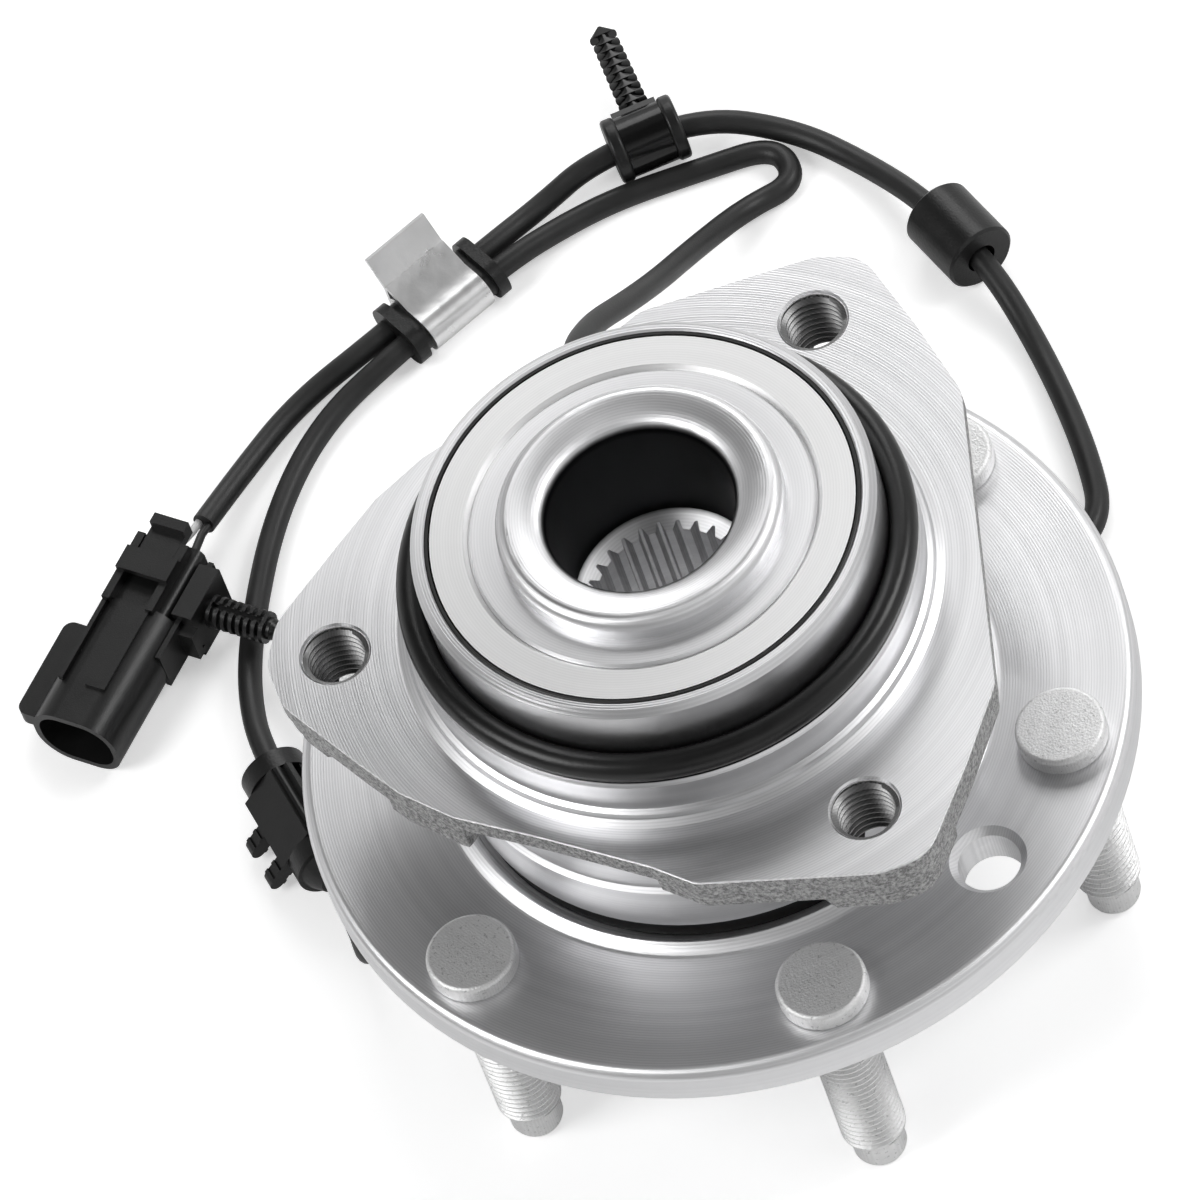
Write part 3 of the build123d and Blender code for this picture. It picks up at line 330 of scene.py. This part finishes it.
turning_marks.links.new(marks_sum.outputs[0], marks_out.inputs["Relief"])
turning_marks.links.new(marks_band.outputs["Fac"], marks_out.inputs["Bands"])
turning_marks.links.new(marks_smudge.outputs["Fac"], marks_out.inputs["Smudge"])
turning_marks.links.new(marks_parts.outputs["Z"], marks_out.inputs["Height"])
turning_marks.links.new(marks_radius.outputs["Value"], marks_out.inputs["Radius"])


def step_mask(tree, value, low, high):
    """Goes from 0 at low to 1 at high, or the other way where low is the greater one."""
    step = tree.nodes.new("ShaderNodeMapRange")
    tree.links.new(value, step.inputs["Value"])
    step.inputs["From Min"].default_value = min(low, high)
    step.inputs["From Max"].default_value = max(low, high)
    step.inputs["To Min"].default_value = 0.0 if low < high else 1.0
    step.inputs["To Max"].default_value = 1.0 if low < high else 0.0
    return step.outputs["Result"]


def mask_product(tree, *masks):
    result = masks[0]
    for mask in masks[1:]:
        product = tree.nodes.new("ShaderNodeMath")
        product.operation = "MULTIPLY"
        tree.links.new(result, product.inputs[0])
        tree.links.new(mask, product.inputs[1])
        result = product.outputs[0]
    return result


def mix_in(tree, mask, socket, colour=None, value=None):
    """Lays a second colour or value over what feeds a socket already, where the mask is 1."""
    before = socket.links[0].from_socket
    mix = tree.nodes.new("ShaderNodeMix")
    mix.data_type = "FLOAT" if colour is None else "RGBA"
    mix.inputs["B"].default_value = value if colour is None else (*colour, 1)
    tree.links.new(mask, mix.inputs["Factor"])
    tree.links.new(before, mix.inputs["A"])
    tree.links.new(mix.outputs["Result"], socket)


def turned_finish(name, dark, light, smooth, rough, stretch, relief, feed=9000.0, lines=12500.0):
    """Steel with turning lines round the Z axis: two tones, two roughnesses, stretched shine."""
    finish, tree, shader = start_finish(name, light, 1.0, rough)
    marks = place_group(tree, turning_marks, Feed=feed, Lines=lines)
    tone = tree.nodes.new("ShaderNodeMath")
    tone.operation = "MULTIPLY"
    tree.links.new(blend_values(tree, marks.outputs["Bands"], 0.35, 1.25), tone.inputs[0])
    tree.links.new(blend_values(tree, marks.outputs["Relief"], 0.30, 1.15), tone.inputs[1])
    tree.links.new(blend_colours(tree, tone.outputs[0], dark, light), shader.inputs["Base Color"])
    tree.links.new(blend_values(tree, marks.outputs["Smudge"], smooth, rough), shader.inputs["Roughness"])
    raise_relief(tree, shader, marks.outputs["Relief"], relief)
    shader.inputs["Anisotropic"].default_value = stretch
    if stretch:
        around = tree.nodes.new("ShaderNodeTangent")
        around.direction_type = "RADIAL"
        around.axis = "Z"
        tree.links.new(around.outputs["Tangent"], shader.inputs["Tangent"])
    return finish, tree, shader, marks


hub_steel, hub_tree, hub_shader, hub_marks = turned_finish(
    "hub_steel", (0.60, 0.60, 0.61), (0.88, 0.88, 0.89), 0.30, 0.46, 0.60, 0.000018
)
# The upper bore's wall is painted near black: darker as-forged steel, deepened with painted shade down the
# bore.
bore_edge = (0.0176, 0.0168)
bore_floor = (0.0472, 0.0478)
bore_painted_shade_mask = mask_product(
    hub_tree,
    step_mask(hub_tree, hub_marks.outputs["Radius"], *bore_edge),
    step_mask(hub_tree, hub_marks.outputs["Height"], *bore_floor),
)
mix_in(hub_tree, bore_painted_shade_mask, hub_shader.inputs["Base Color"], colour=(0.045, 0.045, 0.047))
mix_in(hub_tree, bore_painted_shade_mask, hub_shader.inputs["Roughness"], value=0.42)
hub = make_piece("wheel_hub_finished", copy_solid("wheel_hub"), hub_steel)
bpy.context.view_layer.update()
hub_shaded = hub.evaluated_get(bpy.context.evaluated_depsgraph_get()).data
hub_normals = [corner.vector.copy() for corner in hub_shaded.corner_normals]
rim_round_radius = 0.0728
rim_round_height = 0.0058
for corner in hub.data.loops:
    place = hub.data.vertices[corner.vertex_index].co
    beyond = math.hypot(place.x, place.y) - rim_round_radius
    if beyond > -1e-5 and place.z > rim_round_height - 1e-5:
        out = Vector((place.x, place.y, 0)).normalized()
        hub_normals[corner.index] = (out * beyond + Vector((0, 0, place.z - rim_round_height))).normalized()
hub.modifiers.clear()
hub.data.normals_split_custom_set(hub_normals)
declare(hub, "wheel_hub")

# Inner ring: ground bearing steel, pressed on the spindle. Only its end face shows, inside
# the seal and under the rolled lip.
ground_steel = turned_finish(
    "ground_steel", (0.64, 0.64, 0.65), (0.82, 0.82, 0.83), 0.28, 0.38, 0.3, 0.000004
)[0]
dress("inner_ring", ground_steel)

# Rows of balls in their cages: thirteen polished steel balls a row, snapped into the pockets
# of a moulded nylon cage. Both rows are hidden between the raceways.
ball_polish, ball_tree, ball_shader = start_finish("ball_polish", (0.75, 0.75, 0.76), 1.0, 0.06)
ball_marks = place_group(ball_tree, rubber_skin, Grain=900.0, Bloom=300.0)
ball_tree.links.new(
    blend_values(ball_tree, ball_marks.outputs["Bloom"], 0.04, 0.12), ball_shader.inputs["Roughness"]
)
cage_nylon = rubber_finish("cage_nylon", (0.02,) * 3, (0.05,) * 3, 0.50, 0.40, 3000.0, 0.00002)
for row in ("outboard", "inboard"):
    dress("balls_" + row, ball_polish, sharp=60)
    dress("cage_" + row, cage_nylon)

# Toothed ring: sintered steel, pressed on the spindle between the rows. The speed sensor
# counts its teeth as they pass.
sintered_steel = turned_finish("sintered_steel", (0.20,) * 3, (0.30,) * 3, 0.45, 0.60, 0.0, 0.00001)[0]
dress("tone_ring", sintered_steel)

# Seals: the bright slinger turns with the inner ring inside a black rubber lip, and a
# rubber skirt closes the gap above the wheel flange.
slinger_steel = turned_finish(
    "slinger_steel", (0.68,) * 3, (0.84,) * 3, 0.36, 0.46, 0.2, 0.000003, feed=14000.0
)[0]
seal_rubber = rubber_finish("seal_rubber", (0.004,) * 3, (0.014,) * 3, 0.46, 0.34, 3200.0, 0.00002)
dress("inboard_slinger", slinger_steel)
dress("inboard_seal", seal_rubber)
dress("outboard_seal", seal_rubber)

# Outer ring: a steel forging that keeps its rough skin on the sides and backs of the lobes.
# The flange's face, the spigot and the nose are turned bright, and the neck a little duller.
forged_skin, forged_in, forged_out = start_group("forged_skin", {"Grain": 1500.0}, ["Relief", "Tone"])
forged_place = forged_skin.nodes.new("ShaderNodeTexCoord")
forged_grain = forged_skin.nodes.new("ShaderNodeTexNoise")
forged_grain.inputs["Detail"].default_value = 6.0
forged_grain.inputs["Roughness"].default_value = 0.65
forged_pits = forged_skin.nodes.new("ShaderNodeTexVoronoi")
forged_sum = forged_skin.nodes.new("ShaderNodeMath")
forged_sum.operation = "MULTIPLY_ADD"
forged_sum.inputs[1].default_value = 0.5
for texture in (forged_grain, forged_pits):
    forged_skin.links.new(forged_place.outputs["Object"], texture.inputs["Vector"])
    forged_skin.links.new(forged_in.outputs["Grain"], texture.inputs["Scale"])
forged_skin.links.new(forged_pits.outputs["Distance"], forged_sum.inputs[0])
forged_skin.links.new(forged_grain.outputs["Fac"], forged_sum.inputs[2])
forged_skin.links.new(forged_sum.outputs[0], forged_out.inputs["Relief"])
forged_tone = forged_skin.nodes.new("ShaderNodeTexNoise")
forged_tone.inputs["Scale"].default_value = 1300.0
forged_tone.inputs["Detail"].default_value = 3.0
forged_tone.inputs["Roughness"].default_value = 0.75
forged_skin.links.new(forged_place.outputs["Object"], forged_tone.inputs["Vector"])
forged_contrast = forged_skin.nodes.new("ShaderNodeMapRange")
forged_contrast.inputs["From Min"].default_value = 0.36
forged_contrast.inputs["From Max"].default_value = 0.64
forged_skin.links.new(forged_tone.outputs["Fac"], forged_contrast.inputs["Value"])
forged_skin.links.new(forged_contrast.outputs["Result"], forged_out.inputs["Tone"])

ring_steel, ring_tree, ring_shader, ring_marks = turned_finish(
    "ring_steel", (0.54, 0.54, 0.55), (0.83, 0.83, 0.84), 0.24, 0.38, 0.65, 0.000014
)
forged = place_group(ring_tree, forged_skin, Grain=1100.0)
forged_from = (0.0478, 0.0482)
forged_below = (0.0459, 0.0456)
forged_mask = mask_product(
    ring_tree,
    step_mask(ring_tree, ring_marks.outputs["Radius"], *forged_from),
    step_mask(ring_tree, ring_marks.outputs["Height"], *forged_below),
)
forged_colour = blend_colours(ring_tree, forged.outputs["Tone"], (0.20,) * 3, (0.56,) * 3)
skin_mix = ring_tree.nodes.new("ShaderNodeMix")
skin_mix.data_type = "RGBA"
ring_tree.links.new(forged_mask, skin_mix.inputs["Factor"])
ring_tree.links.new(ring_shader.inputs["Base Color"].links[0].from_socket, skin_mix.inputs["A"])
ring_tree.links.new(forged_colour, skin_mix.inputs["B"])
ring_tree.links.new(skin_mix.outputs["Result"], ring_shader.inputs["Base Color"])
mix_in(ring_tree, forged_mask, ring_shader.inputs["Roughness"], value=0.58)
skin_depth = 0.0007
turned_normal = ring_shader.inputs["Normal"].links[0].from_socket
skin_bump = ring_tree.nodes.new("ShaderNodeBump")
skin_bump.inputs["Distance"].default_value = skin_depth
skin_height = mask_product(ring_tree, forged_mask, forged.outputs["Relief"])
ring_tree.links.new(skin_height, skin_bump.inputs["Height"])
ring_tree.links.new(turned_normal, skin_bump.inputs["Normal"])
ring_tree.links.new(skin_bump.outputs["Normal"], ring_shader.inputs["Normal"])
neck_outside = (0.0479, 0.0475)
neck_top = (0.0440, 0.0250)
neck_end = (0.0100, 0.0110)
neck_inside = (0.0400, 0.0430)
neck_mask = mask_product(
    ring_tree,
    step_mask(ring_tree, ring_marks.outputs["Radius"], *neck_outside),
    step_mask(ring_tree, ring_marks.outputs["Height"], *neck_top),
    step_mask(ring_tree, ring_marks.outputs["Height"], *neck_end),
    step_mask(ring_tree, ring_marks.outputs["Radius"], *neck_inside),
)
mix_in(ring_tree, neck_mask, ring_shader.inputs["Roughness"], value=0.46)
dress("outer_ring", ring_steel, sharp=22)

# Threads of the three mounting holes: M12 with a pitch of 1.5 mm, cut in the lobes. Each is
# a coil of ridges whose first turn runs out in the countersink, and whose last turns are in a
# short collar under the lobe.
thread_pitch = 0.0015
thread_sides = 48


def add_thread(piece_mesh, low, high, crest, root, end_radius):
    """Adds a coil of flat-topped ridges round the Z axis, each end welded to a plain ring."""
    form = ((0.0, root), (0.18, root), (0.50, crest), (0.68, crest))
    turns = math.ceil((high - low) / thread_pitch) + 2
    grid = []
    for row in range(len(form) * turns + 1):
        share, radius = form[row % len(form)]
        ring = []
        for side in range(thread_sides):
            turn = 2 * math.pi * side / thread_sides
            height = low + thread_pitch * (row // len(form) - 1 + share + side / thread_sides)
            inside = low < height < high
            reach = radius if inside else end_radius
            height = min(max(height, low), high)
            ring.append(piece_mesh.verts.new((reach * math.cos(turn), reach * math.sin(turn), height)))
        grid.append(ring)
    for row in range(len(grid) - 1):
        for side in range(thread_sides):
            after = (side + 1) % thread_sides
            shift = 0 if after else len(form)
            if row + 1 + shift < len(grid):
                piece_mesh.faces.new((
                    grid[row][side], grid[row + shift][after],
                    grid[row + 1 + shift][after], grid[row + 1][side],
                ))


def add_rings(piece_mesh, profile, sides):
    """Adds the surface that a line of radius and height pairs sweeps round the Z axis."""
    before = None
    for radius, height in profile:
        count = sides if radius > 1e-7 else 1
        turns = [2 * math.pi * n / sides for n in range(count)]
        ring = [
            piece_mesh.verts.new((radius * math.cos(turn), radius * math.sin(turn), height))
            for turn in turns
        ]
        if before:
            for n in range(sides):
                corners = [before[n % len(before)], before[(n + 1) % len(before)],
                           ring[(n + 1) % len(ring)], ring[n % len(ring)]]
                piece_mesh.faces.new(list(dict.fromkeys(corners)))
        before = ring


def close_mesh(piece_mesh):
    bmesh.ops.remove_doubles(piece_mesh, verts=piece_mesh.verts, dist=2e-6)
    bmesh.ops.dissolve_degenerate(piece_mesh, edges=piece_mesh.edges, dist=1e-7)
    bmesh.ops.recalc_face_normals(piece_mesh, faces=piece_mesh.faces)


def lay_on_circle(piece, name, circle_radius, count, phase, height, finish):
    """Repeats a piece round the hub axis with Geometry Nodes, and keeps the result as its mesh."""
    tree = bpy.data.node_groups.new(name, "GeometryNodeTree")
    for label, kind in (
        ("Piece", "NodeSocketGeometry"), ("Circle Radius", "NodeSocketFloat"), ("Count", "NodeSocketInt"),
        ("Phase", "NodeSocketFloat"), ("Height", "NodeSocketFloat"), ("Finish", "NodeSocketMaterial"),
    ):
        tree.interface.new_socket(label, in_out="INPUT", socket_type=kind)
    tree.interface.new_socket("Pieces", in_out="OUTPUT", socket_type="NodeSocketGeometry")
    start = tree.nodes.new("NodeGroupInput")
    circle = tree.nodes.new("GeometryNodeMeshCircle")
    turn = tree.nodes.new("ShaderNodeCombineXYZ")
    lift = tree.nodes.new("ShaderNodeCombineXYZ")
    place = tree.nodes.new("GeometryNodeTransform")
    copies = tree.nodes.new("GeometryNodeInstanceOnPoints")
    real = tree.nodes.new("GeometryNodeRealizeInstances")
    paint = tree.nodes.new("GeometryNodeSetMaterial")
    end = tree.nodes.new("NodeGroupOutput")
    for output, target in (
        (start.outputs["Circle Radius"], circle.inputs["Radius"]),
        (start.outputs["Count"], circle.inputs["Vertices"]),
        (start.outputs["Phase"], turn.inputs["Z"]),
        (start.outputs["Height"], lift.inputs["Z"]),
        (turn.outputs[0], place.inputs["Rotation"]),
        (lift.outputs[0], place.inputs["Translation"]),
        (circle.outputs["Mesh"], place.inputs["Geometry"]),
        (place.outputs["Geometry"], copies.inputs["Points"]),
        (start.outputs["Piece"], copies.inputs["Instance"]),
        (copies.outputs["Instances"], real.inputs["Geometry"]),
        (real.outputs["Geometry"], paint.inputs["Geometry"]),
        (start.outputs["Finish"], paint.inputs["Material"]),
        (paint.outputs["Geometry"], end.inputs["Pieces"]),
    ):
        tree.links.new(output, target)
    sockets = {
        item.name: item.identifier for item in tree.interface.items_tree if item.in_out == "INPUT"
    }
    repeat = piece.modifiers.new("repeat", "NODES")
    repeat.node_group = tree
    for label, value in (
        ("Circle Radius", circle_radius), ("Count", count), ("Phase", phase),
        ("Height", height), ("Finish", finish),
    ):
        repeat[sockets[label]] = value
    bpy.context.view_layer.update()
    laid = piece.evaluated_get(bpy.context.evaluated_depsgraph_get())
    mesh = bpy.data.meshes.new_from_object(laid)
    mesh.name = name
    piece.modifiers.clear()
    piece.data = mesh
    piece.name = name
    return piece


hole_face = 0.0463
hole_circle = 0.0597
hole_count = 3
hole_crest = 0.00515
hole_root = 0.00600
hole_wall = 0.00625
collar_radius = 0.00635
thread_top = hole_face - 0.0008
thread_low = hole_face - 0.0153
hole_thread = bmesh.new()
add_thread(hole_thread, thread_low, thread_top, hole_crest, hole_root, hole_wall)
add_rings(hole_thread, [
    (hole_wall, thread_low), (collar_radius, thread_low),
    (collar_radius, thread_top), (hole_wall, thread_top),
], thread_sides)
close_mesh(hole_thread)
# The threads are painted dark grey: painted shade inside the holes.
thread_steel_painted_shade = turned_finish("thread_steel_painted_shade", (0.12,) * 3, (0.24,) * 3, 0.30, 0.42, 0.0, 0.000006)[0]
threads = make_piece("mounting_thread", hole_thread, thread_steel_painted_shade, sharp=40)
lay_on_circle(threads, "mounting_threads", hole_circle, hole_count, math.radians(60), 0.0, thread_steel_painted_shade)
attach(threads, "outer_ring")

# O-ring: nitrile rubber, stretched over the nose against the spigot's step. It seals the
# unit in the knuckle's bore.
o_ring_rubber = rubber_finish("o_ring_rubber", (0.004,) * 3, (0.010,) * 3, 0.36, 0.26, 2000.0, 0.00002)
dress("pilot_o_ring", o_ring_rubber, sharp=60)

# Wheel studs: six, pressed through the flange from the vehicle side, with rolled threads and
# flat heads in a pale grey coating.
stud_circle = 0.0635
stud_count = 6
stud_phase = math.radians(43)
stud_head = 0.0118
stud_head_radius = 0.0081
head_round = 0.0009
head_chamfer = 0.0004
stud_seat = 0.0080
press_radius = 0.0063
stud_body = 0.0059
stud_crest = 0.00597
stud_root = 0.00515
stud_thread_top = -0.0030
stud_thread_low = -0.0362
dog_point_radius = 0.00485
dog_point_top = -0.0372
stud_tip = -0.0440
one_stud = bmesh.new()
head_edge = [
    (stud_head_radius - head_round * (1 - math.sin(a)), stud_head - head_round * (1 - math.cos(a)))
    for a in (math.pi / 2 * n / 5 for n in range(6))
]
add_rings(one_stud, [(0.0, stud_head)] + head_edge + [
    (stud_head_radius, stud_seat + head_chamfer), (stud_head_radius - head_chamfer, stud_seat),
    (press_radius, stud_seat), (press_radius, 0.0006), (stud_body, 0.0), (stud_body, stud_thread_top),
], thread_sides)
add_thread(one_stud, stud_thread_low, stud_thread_top, stud_crest, stud_root, stud_body)
add_rings(one_stud, [
    (stud_body, stud_thread_low), (dog_point_radius, dog_point_top), (dog_point_radius, stud_tip + 0.0013),
    (0.0046, stud_tip + 0.0006), (0.0040, stud_tip + 0.00015), (0.0034, stud_tip), (0.0, stud_tip),
], thread_sides)
close_mesh(one_stud)
stud_coat, stud_tree, stud_shader, _ = turned_finish(
    "stud_coat", (0.70,) * 3, (0.86,) * 3, 0.44, 0.58, 0.0, 0.000004
)
stud_grain = place_group(stud_tree, forged_skin, Grain=2200.0)
stud_wear = step_mask(stud_tree, stud_grain.outputs["Tone"], 0.10, 0.0)
mix_in(stud_tree, stud_wear, stud_shader.inputs["Base Color"], colour=(0.56, 0.56, 0.56))
coat_depth = 0.00008
coat_bump = stud_shader.inputs["Normal"].links[0].from_node
coat_bump.inputs["Distance"].default_value = coat_depth
stud_tree.links.new(stud_grain.outputs["Relief"], coat_bump.inputs["Height"])
studs = make_piece("wheel_stud", one_stud, stud_coat, sharp=40)
lay_on_circle(studs, "wheel_studs_threaded", stud_circle, stud_count, stud_phase, 0.0, stud_coat)
declare(studs, "wheel_studs")

# Speed sensor: a moulded plug held in the back of the outer ring by one socket screw, with
# a small O-ring in its bore. The cable leaves it at a slope.
moulded_black = rubber_finish("moulded_black", (0.005,) * 3, (0.012,) * 3, 0.38, 0.27, 4200.0, 0.00002)
screw_steel = turned_finish("screw_steel", (0.50,) * 3, (0.62,) * 3, 0.3, 0.45, 0.0, 0.000005)[0]
dress("speed_sensor", moulded_black)
dress("sensor_o_ring", seal_rubber)
dress("sensor_screw", screw_steel)

# Grommet and clamp: both strands run through one rubber grommet, and a strip of plated
# sheet steel is folded round its waist with a flat tab on one side.
sleeve_rubber = rubber_finish("sleeve_rubber", (0.004,) * 3, (0.012,) * 3, 0.40, 0.28, 2400.0, 0.00004)
plated_sheet, plated_tree, plated_shader = start_finish("plated_sheet", (0.66,) * 3, 1.0, 0.3)
plated = place_group(plated_tree, rubber_skin, Grain=1200.0, Bloom=200.0)
plated_tree.links.new(
    blend_values(plated_tree, plated.outputs["Bloom"], 0.22, 0.38), plated_shader.inputs["Roughness"]
)
plated_tree.links.new(
    blend_colours(plated_tree, plated.outputs["Bloom"], (0.80,) * 3, (0.92,) * 3),
    plated_shader.inputs["Base Color"],
)
raise_relief(plated_tree, plated_shader, plated.outputs["Bloom"], 0.0001)
grommet = dress("strand_grommet", sleeve_rubber)
clamp = dress("cable_clamp", plated_sheet)

# Sleeves and clips on the cable: a thick rubber sleeve, a flanged one under the saddle of a
# glossy moulded stem with barbs, and the collars of the clip with two pins. Stem and pins are
# longer than in the solids, as on the real part.
gloss_black = rubber_finish("gloss_black", (0.003,) * 3, (0.007,) * 3, 0.20, 0.12, 900.0, 0.00001)
thick_sleeve = dress("rubber_sleeve", sleeve_rubber)
stem_sleeve = dress("tree_sleeve", sleeve_rubber)
stem_across = Vector((-stem_sleeve_way.y, stem_sleeve_way.x, 0))
stem_root = 0.0059
stem_half_width = 0.0012
barb_pitch = 0.0019
barb_count = 10
barb_reach = 0.0029
barb_shrink = 0.00003
clip_mesh = copy_solid("tree_clip")
bmesh.ops.bisect_plane(
    clip_mesh, geom=clip_mesh.verts[:] + clip_mesh.edges[:] + clip_mesh.faces[:],
    plane_co=stem_middle + stem_across * (stem_root + 0.0002), plane_no=stem_across, clear_outer=True,
)
bmesh.ops.holes_fill(clip_mesh, edges=[edge for edge in clip_mesh.edges if edge.is_boundary])
barbs = bmesh.new()
barb_line = [
    (0.0, stem_root - 0.0010), (0.0020, stem_root - 0.0010),
    (0.0020, stem_root + 0.0004), (0.0012, stem_root + 0.0008),
]
for barb in range(barb_count):
    base = stem_root + 0.0012 + barb_pitch * barb
    reach = barb_reach - barb_shrink * barb
    barb_line += [
        (0.0010, base + 0.0004), (reach, base - 0.0003), (reach, base - 0.0001), (0.0011, base + 0.0011)
    ]
stem_end = stem_root + 0.0012 + barb_pitch * barb_count
barb_line += [(0.0011, stem_end), (0.0027, stem_end), (0.0004, stem_end + 0.0026), (0.0, stem_end + 0.0026)]
add_rings(barbs, barb_line, 32)
for point in barbs.verts:
    point.co.y = min(max(point.co.y, -stem_half_width), stem_half_width)
barbs.transform(Matrix.Translation(stem_middle + stem_sleeve_way * 0.0005) @ Matrix(
    (stem_sleeve_way, Vector((0, 0, 1)), stem_across)
).transposed().to_4x4())
close_mesh(barbs)
barb_mesh = bpy.data.meshes.new("barbs")
barbs.to_mesh(barb_mesh)
barbs.free()
clip_mesh.from_mesh(barb_mesh)
bpy.data.meshes.remove(barb_mesh)
stem_clip = declare(make_piece("barbed_clip", clip_mesh, gloss_black), "tree_clip")
collars = dress("clip_sleeve", sleeve_rubber)
clip_across = Vector((-clip_way.y, clip_way.x, 0))
pin_tilt = math.radians(41)
pin_way = -(clip_across * math.cos(pin_tilt) + Vector((0, 0, math.sin(pin_tilt))))
pin_foot = 0.0048
pin_stretch = 0.45
pin_mesh = copy_solid("two_pin_clip")
for point in pin_mesh.verts:
    beyond = (point.co - clip_top).dot(pin_way) - pin_foot
    if beyond > 0:
        point.co += pin_way * (pin_stretch * beyond)
pin_clip = declare(make_piece("pinned_clip", pin_mesh, moulded_black), "two_pin_clip")

# Connector: a moulded housing with an oval shroud, its wire seal, terminals and slide lock,
# and a ribbed fixing stem on the rail at its side.
white_wire_skin = rubber_finish("white_wire_skin", (0.62,) * 3, (0.72,) * 3, 0.40, 0.30, 1500.0, 0.00001)
tinned = turned_finish("tinned", (0.62, 0.60, 0.54), (0.72, 0.70, 0.64), 0.2, 0.3, 0.0, 0.000002)[0]
housing = dress("connector_housing", moulded_black)
wire_seal = dress("connector_seal", sleeve_rubber)
terminals = dress("connector_terminals", tinned)
lock = dress("connector_lock", moulded_black)
rail_stem = dress("rail_clip", moulded_black)
white_wire = dress("wire_white", white_wire_skin)
black_wire = dress("wire_black", jacket_rubber)

# Studio: a white table under the stud tips, three soft boxes above, and a pale room round
# it, whose uneven light gives the steel its darker and brighter reflections.
table_mesh = bpy.data.meshes.new("studio_table")
table_half = 3.0
table_height = -0.04405
table_mesh.from_pydata(
    [(-table_half, -table_half, table_height), (table_half, -table_half, table_height),
     (table_half, table_half, table_height), (-table_half, table_half, table_height)],
    [], [(0, 1, 2, 3)],
)
table = bpy.data.objects.new("studio_table", table_mesh)
scene.collection.objects.link(table)
table_white, table_tree, table_shader = start_finish("table_white", (0.93,) * 3, 0.0, 0.8)
table_rays = table_tree.nodes.new("ShaderNodeLightPath")
table_lift = table_tree.nodes.new("ShaderNodeMath")
table_lift.operation = "MULTIPLY"
table_lift.inputs[1].default_value = 0.42
table_tree.links.new(table_rays.outputs["Is Camera Ray"], table_lift.inputs[0])
table_shader.inputs["Emission Color"].default_value = (1, 1, 1, 1)
table_tree.links.new(table_lift.outputs[0], table_shader.inputs["Emission Strength"])
table_mesh.materials.append(table_white)

for name, place, size, power in (
    ("soft_box_left", (-1.3, -0.5, 1.3), 0.9, 15),
    ("soft_box_right", (1.3, 0.3, 1.2), 0.7, 10),
    ("soft_box_back", (0.1, 1.6, 1.3), 1.0, 9),
):
    lamp = bpy.data.lights.new(name, "AREA")
    lamp.size = size
    lamp.energy = power
    lamp_object = bpy.data.objects.new(name, lamp)
    scene.collection.objects.link(lamp_object)
    lamp_object.location = place
    lamp_object.rotation_euler = (-Vector(place)).to_track_quat("-Z", "Y").to_euler()

room = bpy.data.worlds.new("pale_room")
scene.world = room
room.use_nodes = True
room_tree = room.node_tree
room_back = room_tree.nodes["Background"]
room_back.inputs["Color"].default_value = (1, 1, 1, 1)
room_rays = room_tree.nodes.new("ShaderNodeLightPath")
room_place = room_tree.nodes.new("ShaderNodeTexCoord")
room_clouds = room_tree.nodes.new("ShaderNodeTexNoise")
room_clouds.inputs["Scale"].default_value = 1.3
room_clouds.inputs["Detail"].default_value = 0.0
room_strength = room_tree.nodes.new("ShaderNodeMapRange")
room_strength.inputs["From Min"].default_value = 0.32
room_strength.inputs["From Max"].default_value = 0.68
room_strength.inputs["To Min"].default_value = 0.05
room_strength.inputs["To Max"].default_value = 0.86
room_seen = room_tree.nodes.new("ShaderNodeMix")
room_seen.data_type = "FLOAT"
room_seen.inputs["B"].default_value = 1.0
room_tree.links.new(room_place.outputs["Generated"], room_clouds.inputs["Vector"])
room_tree.links.new(room_clouds.outputs["Fac"], room_strength.inputs["Value"])
room_tree.links.new(room_rays.outputs["Is Camera Ray"], room_seen.inputs["Factor"])
room_tree.links.new(room_strength.outputs["Result"], room_seen.inputs["A"])
room_tree.links.new(room_seen.outputs["Result"], room_back.inputs["Strength"])
scene.view_settings.view_transform = "Standard"
